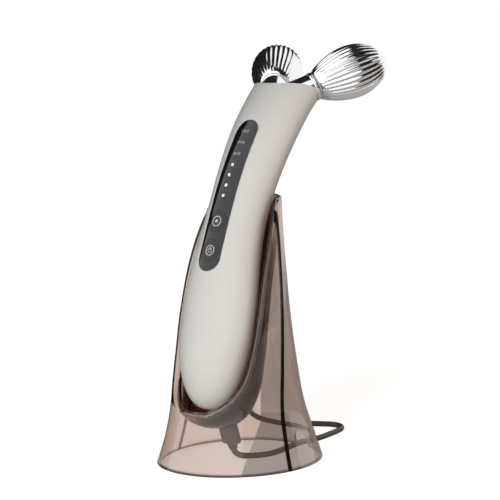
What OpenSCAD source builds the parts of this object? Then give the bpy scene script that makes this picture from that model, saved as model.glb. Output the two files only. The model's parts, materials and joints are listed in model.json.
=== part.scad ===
// Handheld body roller with two fluted metal rollers, standing in its smoked charging stand.
// Millimetres. The origin is on the surface, below the middle of stand and handle together.
// +Z is up, the control panel faces -Y and the handle leans back towards +Y.

/* [Handle] */
// Height of the handle's lowest point above the surface
handle_z = 34; // [33:0.5:38]
// Distance of that point in front of the stand's centre
handle_front = 29.5; // [28:0.5:30.5]
// Length of the bent part of the centre line
bend_len = 215; // [205:1:230]
// Lean of the centre line at its foot, in degrees
foot_lean = 9; // [7:0.5:10]
// Lean of the centre line at the end of the bend, in degrees
head_lean = 50; // [44:1:56]
// Width near the foot
foot_w = 44.6; // [42:0.2:46]
// Depth near the foot
foot_depth = 41.6; // [38:0.2:43]
// Width at the belly
belly_w = 48; // [45:0.2:49]
// Depth at the belly
belly_depth = 37; // [35:0.2:38]
// Width at the waist
waist_w = 38; // [36.6:0.2:40]
// Depth at the waist
waist_depth = 33; // [32:0.2:35]
// Width at the head
head_w = 44.8; // [43:0.2:47]
// Depth at the head
head_depth = 30.4; // [29.6:0.2:32]
// Length of the rounded foot
dome_len = 48; // [40:1:56]
// Wall of both handle shells
shell_wall = 2.2; // [1.8:0.1:2.6]
// Radius of the arched end of the head
crown_r = 35; // [34:0.5:38]

/* [Panel] */
// Middle of the panel along the centre line
panel_at = 126; // [122:1:130]
// Length of the panel with its rim
panel_len = 98; // [94:1:100]
// Width of the panel with its rim
panel_w = 17.5; // [16:0.5:19]
// Width of the bright rim
rim_w = 0.6; // [0.4:0.1:1]
// Thickness of the window
window_t = 1.4; // [1:0.1:1.5]
// Diameter of a button
button_d = 10; // [8:0.2:11]
// Travel of a button
button_travel = 0.4; // [0.2:0.05:0.5]

/* [Rollers] */
// Length of a roller
roller_len = 47.5; // [42:0.5:52]
// Largest radius of a roller
roller_r = 16.3; // [14:0.1:17.5]
// Radius of a roller's neck
neck_r = 8.5; // [7.5:0.1:9.5]
// Turn of each roller axis away from the middle, in degrees
roller_spread = 33; // [31:0.5:37]
// Tilt of the roller axes from upright, in degrees
roller_tilt = 65; // [60:1:70]
// Distance from the point where the axes cross to a roller's neck
neck_reach = 29; // [28:0.5:32]
// Diameter of an axle
axle_d = 5; // [4:0.1:5.5]
// Running clearance between axle and bush, on the radius
run_gap = 0.05; // [0.02:0.01:0.1]

/* [Stand] */
// Height of the stand at the back
stand_h = 160; // [156:1:163]
// Width of the foot
foot_across = 93; // [90:1:100]
// Depth of the foot, front to back
foot_along = 110; // [106:1:116]
// Wall of the stand
stand_wall = 2; // [1.6:0.1:2.4]
// Wall of the cradle
cradle_wall = 1.6; // [1.2:0.1:2]
// Space between cradle and handle at the back
cradle_gap = 1.2; // [0.8:0.1:1.6]
// Height of the cradle's lowest point
cradle_z = 22; // [20:0.5:24]
// Width of the dark bonded seam on each side
seam_w = 2.2; // [1:0.1:3]
// Width of the notch that lets the cable out
notch_w = 12; // [8:0.5:18]

/* [Charging] */
// Lean of the charging plug from upright, in degrees
plug_lean = 20; // [16:1:24]
// Length of the plug's grip
plug_len = 26.5; // [25:0.5:27]
// Width of the plug's grip
plug_w = 13.2; // [12:0.1:14.4]
// Thickness of the plug's grip
plug_t = 7; // [6.4:0.1:7.6]
// Width of the plug's metal tip
tip_w = 8.3; // [8:0.1:8.9]
// Thickness of the plug's metal tip
tip_t = 2.5; // [2.3:0.1:2.8]
// Length of the metal tip
tip_len = 6; // [5:0.1:6.6]
// Diameter of the cable
cable_d = 3.6; // [3:0.1:4]

/* [Hidden] */

fit_gap = 0.1;
grip_fit = 0.05;
tiny = 0.01;
// The origin lies below the middle of the whole object, and the stand's centre in front of it
stand_y = -18.2;

// Colours as the photograph shows them
champagne = [0.80, 0.78, 0.73];
smoke = [0.42, 0.34, 0.31, 0.6];
charcoal = [0.26, 0.26, 0.27];
chrome = [0.82, 0.83, 0.85];
steel = [0.62, 0.63, 0.65];
cable_grey = [0.33, 0.30, 0.29];

// Cosine blend through a list of [distance, value] stations
function ease(t) = (1 - cos(180 * min(1, max(0, t)))) / 2;
function blend(list, s, i = 0) =
    i >= len(list) - 2 || s < list[i + 1][0]
        ? list[i][1] + (list[i + 1][1] - list[i][1])
            * ease((s - list[i][0]) / (list[i + 1][0] - list[i][0]))
        : blend(list, s, i + 1);
function flat(list) = [for (row = list) each row];

// Centre line of the handle: its lean grows with the square of the distance
body_len = bend_len + 17;
spine_steps = 58;
spine_ds = body_len / spine_steps;
function lean(s) = foot_lean + (head_lean - foot_lean) * pow(max(0, s) / bend_len, 2);
spine_line = [
    for (i = 0, p = [stand_y - handle_front, handle_z]; i <= spine_steps;
        p = p + spine_ds * [sin(lean((i + 0.5) * spine_ds)), cos(lean((i + 0.5) * spine_ds))],
        i = i + 1)
        p
];
function spine(s) =
    let (u = min(spine_steps - tiny, max(0, s / spine_ds)), i = floor(u))
    spine_line[i] + (u - i) * (spine_line[i + 1] - spine_line[i]);

foot_at = 24;
belly_at = 58;
waist_at = 122;
head_at = 184;
end_flare = 2;
widths = [
    [foot_at, [foot_w, foot_depth] / 2], [belly_at, [belly_w, belly_depth] / 2],
    [waist_at, [waist_w, waist_depth] / 2], [head_at, [head_w, head_depth] / 2],
    [body_len, [head_w, head_depth + end_flare] / 2]
];
function half_size(s) = blend(widths, s);

// The rounded foot closes over dome_len; inset moves the surface inwards on all sides
dome_power = 2.2;
function dome(t) = pow(1 - pow(1 - min(1, max(0, t)), dome_power), 1 / dome_power);
function handle_point(s, a, inset) =
    let (
        half = (half_size(s) - [inset, inset]) * dome((s - inset) / (dome_len - inset)),
        c = spine(s),
        out = half[1] * cos(a)
    )
    [half[0] * sin(a), c[0] - out * cos(lean(s)), c[1] + out * sin(lean(s))];
function handle_row(s, a0, a1, count, inset) =
    [for (j = [0 : count]) handle_point(s, a0 + (a1 - a0) * j / count, inset)];
function handle_pole(inset) = let (c = spine(inset)) [0, c[0], c[1]];
// Distances of the rings, closer together where the foot closes
function ring_s(i, rings, inset) =
    inset + (body_len - inset) * (0.25 * pow(i / rings, 3) + 0.75 * pow(i / rings, 1.5));

// Triangles of a grid of points whose first one has the index start
function grid_faces(start, rows, cols, flip = false) = flat([
    for (i = [0 : rows - 2]) for (j = [0 : cols - 2])
        let (a = start + i * cols + j, b = a + 1, c = a + cols, d = c + 1)
        flip ? [[a, b, d], [a, d, c]] : [[a, d, b], [a, c, d]]
]);
// Triangles of the strip between two edges, given as lists of indices
function strip_faces(e, f, turned = false) = flat([
    for (i = [0 : len(e) - 2])
        turned ? [[e[i], e[i + 1], f[i]], [e[i + 1], f[i + 1], f[i]]]
            : [[e[i], f[i + 1], f[i]], [e[i], e[i + 1], f[i + 1]]]
]);

// Thin cup: an outer and an inner grid that both close in a pole below their first row,
// joined along the two side edges and the top edge
module thin_cup(outer_pole, outer, inner_pole, inner) {
    rows = len(outer);
    cols = len(outer[0]);
    o0 = 2;
    i0 = 2 + rows * cols;
    fans = flat([for (j = [0 : cols - 2]) [[0, o0 + j, o0 + j + 1], [1, i0 + j + 1, i0 + j]]]);
    sides = concat(
        strip_faces(concat([1], [for (i = [0 : rows - 1]) i0 + i * cols]),
            concat([0], [for (i = [0 : rows - 1]) o0 + i * cols])),
        strip_faces(concat([0], [for (i = [0 : rows - 1]) o0 + i * cols + cols - 1]),
            concat([1], [for (i = [0 : rows - 1]) i0 + i * cols + cols - 1]), true));
    top = strip_faces([for (j = [0 : cols - 1]) i0 + (rows - 1) * cols + j],
        [for (j = [0 : cols - 1]) o0 + (rows - 1) * cols + j]);
    polyhedron(
        points = concat([outer_pole, inner_pole], flat(outer), flat(inner)),
        faces = concat(fans, grid_faces(o0, rows, cols), grid_faces(i0, rows, cols, true),
            sides, top),
        convexity = 6);
}

// Thin sheet between an outer and an inner grid, closed along all four edges
module thin_sheet(outer, inner) {
    rows = len(outer);
    cols = len(outer[0]);
    n = rows * cols;
    left = [for (i = [0 : rows - 1]) i * cols];
    right = [for (i = [0 : rows - 1]) i * cols + cols - 1];
    low = [for (j = [0 : cols - 1]) j];
    high = [for (j = [0 : cols - 1]) (rows - 1) * cols + j];
    function under(e) = [for (k = e) k + n];
    polyhedron(
        points = concat(flat(outer), flat(inner)),
        faces = concat(grid_faces(0, rows, cols), grid_faces(n, rows, cols, true),
            strip_faces(under(left), left), strip_faces(right, under(right)),
            strip_faces(low, under(low)), strip_faces(under(high), high)),
        convexity = 6);
}

// Closed tube between an outer and an inner set of rings
module thin_tube(outer, inner) {
    rows = len(outer);
    cols = len(outer[0]);
    function closed(ring) = concat(ring, [ring[0]]);
    n = rows * cols;
    function wall_faces(start, flip) = flat([
        for (i = [0 : rows - 2]) for (j = [0 : cols - 1])
            let (k = (j + 1) % cols, a = start + i * cols + j, b = start + i * cols + k,
                c = a + cols, d = b + cols)
            flip ? [[a, b, d], [a, d, c]] : [[a, d, b], [a, c, d]]
    ]);
    low = closed([for (j = [0 : cols - 1]) j]);
    high = closed([for (j = [0 : cols - 1]) (rows - 1) * cols + j]);
    function under(e) = [for (k = e) k + n];
    polyhedron(
        points = concat(flat(outer), flat(inner)),
        faces = concat(wall_faces(0, false), wall_faces(n, true),
            strip_faces(low, under(low)), strip_faces(under(high), high)),
        convexity = 6);
}

// Solid body with closed rings, its first row closing in a pole
module thick_body(pole, rings) {
    rows = len(rings);
    cols = len(rings[0]);
    polyhedron(
        points = concat([pole], flat(rings)),
        faces = concat(
            [for (j = [0 : cols - 1]) [0, 1 + j, 1 + (j + 1) % cols]],
            flat([for (i = [0 : rows - 2]) for (j = [0 : cols - 1])
                let (k = (j + 1) % cols, a = 1 + i * cols + j, b = 1 + i * cols + k,
                    c = a + cols, d = b + cols)
                [[a, d, b], [a, c, d]]]),
            [[for (j = [cols - 1 : -1 : 0]) 1 + (rows - 1) * cols + j]]),
        convexity = 4);
}

// Frame on the centre line at s: local Y runs up the handle, local Z points to the front
module at_spine(s) {
    c = spine(s);
    translate([0, c[0], c[1]]) rotate([90 - lean(s), 0, 0]) children();
}

// Half shell of the handle between the angles a0 and a1, where 0 is the front
shell_rings = 34;
shell_cols = 16;
module half_shell(a0, a1) {
    thin_cup(
        handle_pole(0),
        [for (i = [1 : shell_rings])
            handle_row(ring_s(i, shell_rings, 0), a0, a1, shell_cols, 0)],
        handle_pole(shell_wall),
        [for (i = [1 : shell_rings])
            handle_row(ring_s(i, shell_rings, shell_wall), a0, a1, shell_cols, shell_wall)]);
}

// Head: the axes of the two axles cross at cross_p, and an arch of crown_r ends the shells
cross_at = bend_len - 24.6;
cross_front = 5.3;
crown_drop = 24.3;
cross_p = let (c = spine(cross_at), a = lean(cross_at))
    [0, c[0] - cross_front * cos(a), c[1] + cross_front * sin(a)];
module crown(r) {
    translate(cross_p - [0, 0, crown_drop]) rotate([0, 90, 0])
        cylinder(r = r, h = 90, center = true, $fn = 120);
}
module below_crown(inset = 0) {
    difference() {
        children();
        difference() {
            translate(cross_p + [-40, -60, -crown_drop]) cube([80, 140, 90]);
            crown(crown_r - inset);
        }
    }
}
// Frame of a roller: side is -1 for the left one and 1 for the right one
module at_roller(side, along = 0) {
    translate(cross_p) rotate([-roller_tilt, 0, 0]) rotate([0, side * roller_spread, 0])
        translate([0, 0, along]) children();
}

// Panel frame: the front surface at panel_at, with every panel piece drawn square to it
function front_point(s) = let (h = half_size(s)[1] * dome(s / dome_len), c = spine(s))
    [c[0] - h * cos(lean(s)), c[1] + h * sin(lean(s))];
panel_p = front_point(panel_at);
panel_up = [sin(lean(panel_at)), cos(lean(panel_at))];
panel_out = [-cos(lean(panel_at)), sin(lean(panel_at))];
function panel_y(s) = (front_point(s) - panel_p) * panel_up;
function panel_z(s) = (front_point(s) - panel_p) * panel_out;
module at_panel(y = 0, z = 0) {
    translate([0, panel_p[0], panel_p[1]]) rotate([90 - lean(panel_at), 0, 0])
        translate([0, y, z]) children();
}
module stadium(len, width) {
    square([width, len - width], center = true);
    for (end = [-1, 1]) translate([0, end * (len - width) / 2]) circle(d = width, $fn = 64);
}
module panel_prism(shrink, h = 30) {
    at_panel() linear_extrude(height = h, center = true)
        stadium(panel_len - 2 * shrink, panel_w - 2 * shrink);
}
// Layer of the handle's front between two insets, wide enough for the panel
layer_spread = 40;
layer_cols = 10;
panel_from = panel_at - panel_len / 2 - 2;
panel_to = panel_at + panel_len / 2 + 2;
module front_layer(outer_inset, inner_inset, from = panel_from, to = panel_to, rows = 22) {
    function layer_row(i, inset) =
        handle_row(from + (to - from) * i / rows, -layer_spread, layer_spread, layer_cols, inset);
    thin_sheet([for (i = [0 : rows]) layer_row(i, outer_inset)],
        [for (i = [0 : rows]) layer_row(i, inner_inset)]);
}

// Places on the panel, along the centre line, from the panel's lower and upper end
power_at = panel_at - panel_len / 2 + 15;
mode_at = power_at + 17;
mode_light_at = [for (i = [2 : -1 : 0]) panel_at + panel_len / 2 - 11.1 - 7.2 * i];
level_light_at = [for (i = [0 : 3]) mode_at + 15 + 6.2 * i];
lights_at = concat(level_light_at, mode_light_at);
light_d = 2.4;
board_depth = 9;
board_t = 1.6;
board_size = [15, panel_len - 14];
light_h = 0.8;
switch_size = [6, 6, 1.6];
plunger_d = 2.6;
plunger_h = 0.5;
// A button's flange lies this deep, clear of the shell's curved inside
cap_flange = 0.8;
cap_flange_d = button_d + 1.2;
flange_depth = shell_wall + 1.3;
cap_depth = flange_depth + 0.4;
stem_d = 3;
switch_gap = button_travel + fit_gap;

module button_bores(d) {
    for (s = [mode_at, power_at])
        at_panel(panel_y(s), 0) cylinder(d = d, h = 40, center = true, $fn = 64);
}

// Screws that hold the two shells together, in pairs: [distance, half spacing]
screw_rows = [[50, 14.5], [152, 13]];
screw_d = 2.5;
screw_head_d = 4.4;
screw_head_h = 1.8;
screw_seat = 8;
screw_tip = 7;
boss_d = 6;
module at_screws() {
    for (row = screw_rows, side = [-1, 1])
        at_spine(row[0]) translate([side * row[1], 0, 0]) children();
}
// Depth of the shell's surface at the distance x from the middle plane
function depth_at(s, x, inset) = let (h = half_size(s) - [inset, inset])
    h[1] * sqrt(1 - pow(min(h[0], abs(x)) / h[0], 2));

// Charging axis: it meets the foot of the handle at port_p and leans back as it goes down
port_p = [0, stand_y - 17.8, 38.1];
plug_gap = 2.2;
relief_len = 4.5;
plug_size = [plug_w, plug_t];
tip_size = [tip_w, tip_t];
module at_port(down = 0) {
    translate(port_p) rotate([plug_lean, 0, 0]) translate([0, 0, -down]) children();
}
module slot_prism(size, h) {
    linear_extrude(height = h) {
        square([size[0] - size[1], size[1]], center = true);
        for (side = [-1, 1])
            translate([side * (size[0] - size[1]) / 2, 0]) circle(d = size[1], $fn = 32);
    }
}

// Screw bosses, reaching from the parting plane into the wall of their shell
module bosses(turn) {
    for (row = screw_rows, side = [-1, 1])
        at_spine(row[0]) translate([side * row[1], 0, 0]) rotate([turn, 0, 0])
            cylinder(d = boss_d, h = depth_at(row[0], row[1] + boss_d / 2, 2 * fit_gap), $fn = 32);
}

module front_shell() color(champagne) {
    difference() {
        union() {
            below_crown() half_shell(-90, 90);
            bosses(0);
        }
        intersection() {
            front_layer(-3, window_t);
            panel_prism(0);
        }
        collar_rooms();
        button_bores(button_d + 4 * fit_gap);
        for (s = lights_at)
            at_panel(panel_y(s), 0)
                cylinder(d = light_d + 2 * fit_gap, h = 40, center = true, $fn = 24);
        at_screws() translate([0, 0, -1]) cylinder(d = screw_d, h = screw_tip + 2, $fn = 24);
    }
}

module rear_shell() color(champagne * 0.97) {
    difference() {
        union() {
            below_crown() half_shell(90, 270);
            bosses(180);
        }
        at_screws() translate([0, 0, -30])
            cylinder(d = screw_d + 4 * fit_gap, h = 31, $fn = 24);
        at_screws() translate([0, 0, -30])
            cylinder(d = screw_head_d + 4 * fit_gap, h = 30 - screw_seat, $fn = 32);
        at_port(4) slot_prism(tip_size + [1, 1], 12);
        carrier_posts();
        tray_feet();
        collar_rooms();
    }
}

module case_screws() color(steel) at_screws() {
    translate([0, 0, -screw_seat - screw_head_h]) {
        cylinder(d = screw_d, h = screw_head_h + screw_seat + screw_tip, $fn = 24);
        cylinder(d = screw_head_d, h = screw_head_h, $fn = 32);
    }
}

module panel_rim() color(chrome) {
    intersection() {
        front_layer(-0.15, window_t);
        difference() {
            panel_prism(fit_gap);
            panel_prism(rim_w, 40);
        }
    }
}

module panel_window() color(charcoal) {
    difference() {
        intersection() {
            front_layer(0, window_t);
            panel_prism(rim_w + fit_gap / 2);
        }
        button_bores(button_d + 4 * fit_gap);
    }
}

// A light's body sits on the board and its guide leads up to the window
module lights(places) {
    for (s = places)
        at_panel(panel_y(s), -board_depth) translate([-0.8, -0.8, 0]) cube([1.6, 1.6, light_h]);
}
module level_lights() color([0.95, 0.95, 0.9]) lights(level_light_at);
module mode_lights() color([0.95, 0.95, 0.9]) lights(mode_light_at);
module light_guides() color([0.9, 0.92, 0.95, 0.7]) {
    for (s = lights_at)
        at_panel(panel_y(s), -board_depth + light_h)
            cylinder(d = light_d, $fn = 24,
                h = board_depth - light_h + panel_z(s) - window_t - 4 * fit_gap);
}

module main_board() color([0.12, 0.35, 0.2]) {
    at_panel(0, -board_depth - board_t) translate([-board_size[0] / 2, -board_size[1] / 2, 0])
        cube([board_size[0], board_size[1], board_t]);
}

module button_switches() color([0.2, 0.2, 0.2]) {
    for (s = [mode_at, power_at])
        at_panel(panel_y(s), -board_depth) {
            translate([-switch_size[0] / 2, -switch_size[1] / 2, 0]) cube(switch_size);
            cylinder(d = plunger_d, h = switch_size[2] + plunger_h, $fn = 24);
        }
}

// Button cap: its face follows the window, and a flange below the shell keeps it in
module button_cap(s) {
    top = panel_z(s);
    stem_end = -board_depth + switch_size[2] + plunger_h + switch_gap;
    intersection() {
        front_layer(0, cap_depth, s - button_d, s + button_d, 6);
        at_panel(panel_y(s), 0) cylinder(d = button_d, h = 40, center = true, $fn = 64);
    }
    at_panel(panel_y(s), top - flange_depth - cap_flange)
        cylinder(d = cap_flange_d, h = cap_flange, $fn = 64);
    at_panel(panel_y(s), stem_end)
        cylinder(d = stem_d, h = top - flange_depth - stem_end, $fn = 24);
}
module mode_button() color(charcoal * 1.1) button_cap(mode_at);
module power_button() color(charcoal * 1.1) button_cap(power_at);

coil_block = [12, 14, 8];
coil_block_y = 24;
carrier_t = 1.5;
carrier_top = -board_depth - board_t;
module pulse_transformer() color([0.55, 0.45, 0.2]) {
    at_panel(coil_block_y, carrier_top - coil_block[2] / 2) cube(coil_block, center = true);
}

// Carrier under the board. Its posts stand in shallow pockets of the rear shell.
post_d = 5;
post_in = 0.6;
post_at = [92, 132, 164];
// Point of the rear shell's inside at s, as [y, z] of the panel frame
function rear_spot(s) =
    let (c = spine(s), h = half_size(s)[1] - shell_wall,
        p = [c[0] + h * cos(lean(s)), c[1] - h * sin(lean(s))] - panel_p)
    [p * panel_up, p * panel_out];
module carrier_posts() {
    for (s = post_at) let (spot = rear_spot(s))
        at_panel(spot[0], spot[1] - post_in)
            cylinder(d = post_d, h = carrier_top - carrier_t / 2 - spot[1] + post_in, $fn = 32);
}
module board_carrier() color([0.25, 0.25, 0.27]) {
    difference() {
        at_panel(0, carrier_top - carrier_t / 2)
            cube([board_size[0], board_size[1], carrier_t], center = true);
        at_panel(coil_block_y, carrier_top)
            cube([coil_block[0] + 1, coil_block[1] + 1, 3 * carrier_t], center = true);
    }
    carrier_posts();
}

// Battery in an open tray, whose feet stand in pockets of the rear shell as well
battery_d = 14;
battery_len = 48;
battery_at = 50;
battery_back = 4;
tray_wall = 1.4;
tray_d = battery_d + 2 * tray_wall;
foot_size = [6, 3];
foot_places = [-14, 14];
module battery_axis(y) {
    at_spine(battery_at) translate([0, y, -battery_back]) rotate([-90, 0, 0]) children();
}
module battery_cell() color([0.2, 0.45, 0.6]) {
    battery_axis(-battery_len / 2) cylinder(d = battery_d, h = battery_len, $fn = 48);
    battery_axis(battery_len / 2 - 1) cylinder(d = 5, h = 2, $fn = 32);
}
module tray_feet() {
    for (y = foot_places) {
        back = depth_at(battery_at + y, foot_size[0] / 2, shell_wall) + post_in;
        at_spine(battery_at) translate([-foot_size[0] / 2, y - foot_size[1] / 2, -back])
            cube([foot_size[0], foot_size[1], back - battery_back - battery_d / 2 - 0.5]);
    }
}
module battery_tray() color([0.25, 0.25, 0.27]) {
    difference() {
        union() {
            battery_axis(-battery_len / 2 - tray_wall)
                cylinder(d = tray_d, h = battery_len + 2 * tray_wall, $fn = 48);
            tray_feet();
        }
        battery_axis(-battery_len / 2) cylinder(d = battery_d, h = battery_len, $fn = 48);
        battery_axis(battery_len / 2 - 1) cylinder(d = 6, h = 4, $fn = 32);
        at_spine(battery_at) translate([-tray_d, -battery_len, 2 - battery_back])
            cube([2 * tray_d, 2 * battery_len, tray_d]);
    }
}

// Charging socket inside the foot, on its own small board
socket_wall = 0.3;
socket_len = 7;
socket_in = 1.2;
tongue_size = [6.6, 0.7];
socket_board = [16, 10, 1.2];
module charge_socket() color(steel) {
    at_port(-socket_in - socket_len) rotate([180, 0, 0]) {
        difference() {
            slot_prism(tip_size + [1, 1] * 2 * (fit_gap + socket_wall), socket_len);
            translate([0, 0, 2 * socket_wall])
                slot_prism(tip_size + [1, 1] * 2 * fit_gap, socket_len);
        }
        translate([0, 0, socket_len / 2 - 0.5])
            cube([tongue_size[0], tongue_size[1], socket_len - 1], center = true);
    }
}
module charge_board() color([0.12, 0.35, 0.2]) {
    at_port(-socket_in - socket_len) translate([-socket_board[0] / 2, -socket_board[1] / 2, 0])
        cube(socket_board);
}

module plug_tip() color(steel) {
    at_port(plug_gap) difference() {
        slot_prism(tip_size, tip_len + plug_gap);
        translate([0, 0, 1]) slot_prism(tip_size - [1, 1] * 0.7, tip_len + plug_gap);
    }
}
module charging_plug() color(cable_grey) {
    at_port(plug_gap + plug_len) slot_prism(plug_size, plug_len);
}
module strain_relief() color(cable_grey * 0.9) {
    at_port(plug_gap + plug_len + relief_len) {
        cylinder(d1 = cable_d + 1.2, d2 = cable_d + 3, h = relief_len, $fn = 32);
    }
}

// Stand: ovals of [height, half width, half depth, shift back], the foot being the first
stand_ovals = [
    [0, foot_across / 2, foot_along / 2, 0], [15, 42.3, 49.5, -0.3], [35, 38, 43.5, -2.5],
    [60, 36.6, 38.3, -4.8], [90, 35.1, 32.6, -6.3], [120, 32.1, 27.8, -5], [145, 28, 23.3, -1.4],
    [stand_h, 23.8, 22, 2.5]
];
// Monotone curve through the ovals
function slope(i) =
    i <= 0 ? (stand_ovals[1] - stand_ovals[0]) / (stand_ovals[1][0] - stand_ovals[0][0])
    : i >= len(stand_ovals) - 1
        ? (stand_ovals[i] - stand_ovals[i - 1]) / (stand_ovals[i][0] - stand_ovals[i - 1][0])
        : (stand_ovals[i + 1] - stand_ovals[i - 1])
            / (stand_ovals[i + 1][0] - stand_ovals[i - 1][0]);
function stand_oval(z, i = 0) =
    i < len(stand_ovals) - 2 && z > stand_ovals[i + 1][0] ? stand_oval(z, i + 1)
    : let (
        h = stand_ovals[i + 1][0] - stand_ovals[i][0],
        t = (z - stand_ovals[i][0]) / h
    )
    stand_ovals[i] * (2 * t * t * t - 3 * t * t + 1)
        + slope(i) * h * (t * t * t - 2 * t * t + t)
        + stand_ovals[i + 1] * (3 * t * t - 2 * t * t * t)
        + slope(i + 1) * h * (t * t * t - t * t);
stand_rings = 18;
stand_cols = 44;
function stand_ring(z, inset) = let (o = stand_oval(z)) [
    for (j = [0 : stand_cols - 1]) let (a = 360 * (j + 0.5) / stand_cols)
        [(o[1] - inset) * sin(a), stand_y + o[3] - (o[2] - inset) * cos(a), z]
];
function stand_z(i) = stand_h * pow(i / stand_rings, 1.25);
module stand_wall_body() {
    thin_tube(
        [for (i = [0 : stand_rings]) stand_ring(stand_z(i), 0)],
        [for (i = [0 : stand_rings]) stand_ring(stand_z(i), stand_wall)]);
}
// Smooth curve through knots, with t from 0 to 1 along all of them
function knot(k, i) = k[min(len(k) - 1, max(0, i))];
function curve(k, t) =
    let (
        u = min(len(k) - 1 - tiny, max(0, t * (len(k) - 1))),
        i = floor(u),
        f = u - i,
        m0 = (knot(k, i + 1) - knot(k, i - 1)) / 2,
        m1 = (knot(k, i + 2) - knot(k, i)) / 2
    )
    knot(k, i) * (2 * f * f * f - 3 * f * f + 1) + m0 * (f * f * f - 2 * f * f + f)
        + knot(k, i + 1) * (3 * f * f - 2 * f * f * f) + m1 * (f * f * f - f * f);
// Rim of the front opening seen from the side, as [y, z] from the front lip up
lip_z = 35.5;
rim_shape = [
    [-44.6, lip_z], [-40.3, 39.6], [-34.6, 45.6], [-29.4, 55], [-25.4, 68], [-21.9, 83],
    [-18.2, 99], [-14, 116], [-8.2, 133], [-1.8, 148], [6, stand_h]
];
rim_knots = [for (k = rim_shape) k + [stand_y, 0]];
rim_steps = 24;
function rim_point(i) = curve(rim_knots, i / rim_steps);
seam_foot_y = stand_y - 8.2;
seam_lean = 3.6;
module opening_cut() {
    front = stand_y - foot_along;
    rim_top = rim_knots[len(rim_knots) - 1];
    rotate([90, 0, 90]) linear_extrude(height = 120, center = true)
        polygon(concat([[front, lip_z]], [for (i = [0 : rim_steps]) rim_point(i)],
            [[rim_top[0] + 1.2, stand_h + 4], [front, stand_h + 4]]));
}
module seam_slab(from, to) {
    translate([0, seam_foot_y, 0]) rotate([-seam_lean, 0, 0])
        translate([-60, from, -20]) cube([120, to - from, 220]);
}
// Notch in the rear edge of the foot
notch_x = 7.5;
notch_h = 10;
module stand_front() color(smoke) {
    difference() {
        stand_wall_body();
        opening_cut();
        seam_slab(-seam_w / 2, 90);
    }
}
module stand_rear() color(smoke * 0.95) {
    difference() {
        stand_wall_body();
        opening_cut();
        seam_slab(-90, seam_w / 2);
        translate([notch_x, stand_y + foot_along / 2 - 8, 0]) rotate([-90, 0, 0])
            linear_extrude(height = 20) stadium(notch_h * 2, notch_w);
    }
}
module seam_strips() color([0.08, 0.06, 0.06]) {
    intersection() {
        difference() {
            stand_wall_body();
            opening_cut();
        }
        seam_slab(-seam_w / 2, seam_w / 2);
    }
}

// Cradle: U-shaped ribs from the rim round the back of the handle. Its middle line is a bowl
// under the foot of the handle, and further up it follows the handle's back.
bowl_y = stand_y - 19;
bowl_back = [stand_y - 1.5, 51];
bowl_share = 0.45;
back_from = 26;
back_to = 139.5;
back_ease = 2.4;
function bowl_point(a) =
    let (low = a < 90 ? lip_z - cradle_z : bowl_back[1] - cradle_z)
    [bowl_y - (a < 90 ? bowl_y - rim_knots[0][0] : bowl_back[0] - bowl_y) * cos(a),
        cradle_z + low * (1 - sin(a))];
function back_point(u) =
    let (
        s = back_from + (back_to - back_from) * u,
        p = handle_point(s, 180, -cradle_gap - cradle_wall - back_ease * pow(1 - u, 3))
    )
    [p[1], p[2]];
function cradle_line(t) =
    t < bowl_share ? bowl_point(180 * t / bowl_share)
    : curve([bowl_back, back_point(0.12), back_point(0.34), back_point(0.56), back_point(0.78),
        [min(back_point(1)[0], rear_inside(stand_h)), stand_h]],
        (t - bowl_share) / (1 - bowl_share));
// Where the stand's inside ends at the back, at the height z
function rear_inside(z) = let (o = stand_oval(z)) stand_y + o[3] + o[2] - stand_wall;
// Half width of the stand's inside at the side-view point p
function inside_x(p) =
    let (o = stand_oval(p[1]), d = stand_wall)
    (o[1] - d) * sqrt(max(0, 1 - pow((p[0] - stand_y - o[3]) / (o[2] - d), 2)));
rib_count = 26;
rib_cols = 24;
// Ribs are rounder at the bowl and squarer higher up
function rib_power(t) = 1.6 + 0.9 * min(1, 2.5 * t);
function rib(i, inset) =
    let (
        t = i / rib_count,
        r = curve(rim_knots, t),
        back = cradle_line(t),
        reach = norm(back - r),
        b = r + (back - r) * max(0.15, 1 - inset / max(reach, tiny)),
        x_end = inside_x(r)
    )
    [for (j = [0 : rib_cols])
        let (
            a = 90 + 180 * j / rib_cols,
            w = pow(abs(cos(a)), 2 / rib_power(t)),
            v = pow(abs(sin(a)), 2 / rib_power(t)),
            p = r + (b - r) * w,
            x = max(0.2 * v, min(x_end * v, inside_x(p)) - inset * v)
        )
        [x * sign(sin(a)), p[0], p[1]]];
module cradle() color(smoke) {
    lip = rim_point(0);
    difference() {
        thin_cup(
            [0, lip[0] + stand_wall + fit_gap, lip[1] - 0.6],
            [for (i = [1 : rib_count]) rib(i, 0)],
            [0, lip[0] + stand_wall + fit_gap + cradle_wall, lip[1] + 0.6],
            [for (i = [1 : rib_count]) rib(i, cradle_wall)]);
        at_port(plug_gap + plug_len)
            slot_prism(plug_size - [1, 1] * 2 * grip_fit, plug_len + plug_gap + 4);
    }
}

// Cable: its route from the strain relief to the coil, lying on the surface behind the stand
cable_route = [
    [0.1, -23.4, 4.5], [0.9, -21.5, 2.9], [2.6, -19.4, 2], [5.2, -17, 1.8], [8, -13.8, 1.8],
    [10.4, -9.4, 1.8], [11.8, -3.4, 1.8], [12.2, 4, 2.2], [11.8, 13, 2.8], [10.8, 23, 3.2],
    [9.4, 33, 3], [8.2, 43, 2.2], [7, 53, 1.8], [5.4, 64, 1.8], [3.4, 74.5, 1.8],
    [0.6, 82.8, 1.8], [-4.4, 88, 1.8], [-10.8, 88.9, 1.8], [-17, 86, 1.8], [-25, 80.8, 1.8],
    [-35, 76.6, 1.8], [-46.5, 74.6, 1.8], [-58.5, 75.8, 1.8], [-70.5, 81, 1.8], [-82, 90, 1.8],
    [-92, 98.6, 2], [-101, 103.2, 2.3], [-109.9, 104.1, 2.6]
];
cable_start = port_p + (plug_gap + plug_len + relief_len) * [0, sin(plug_lean), -cos(plug_lean)];
cable_sides = 8;

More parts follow.
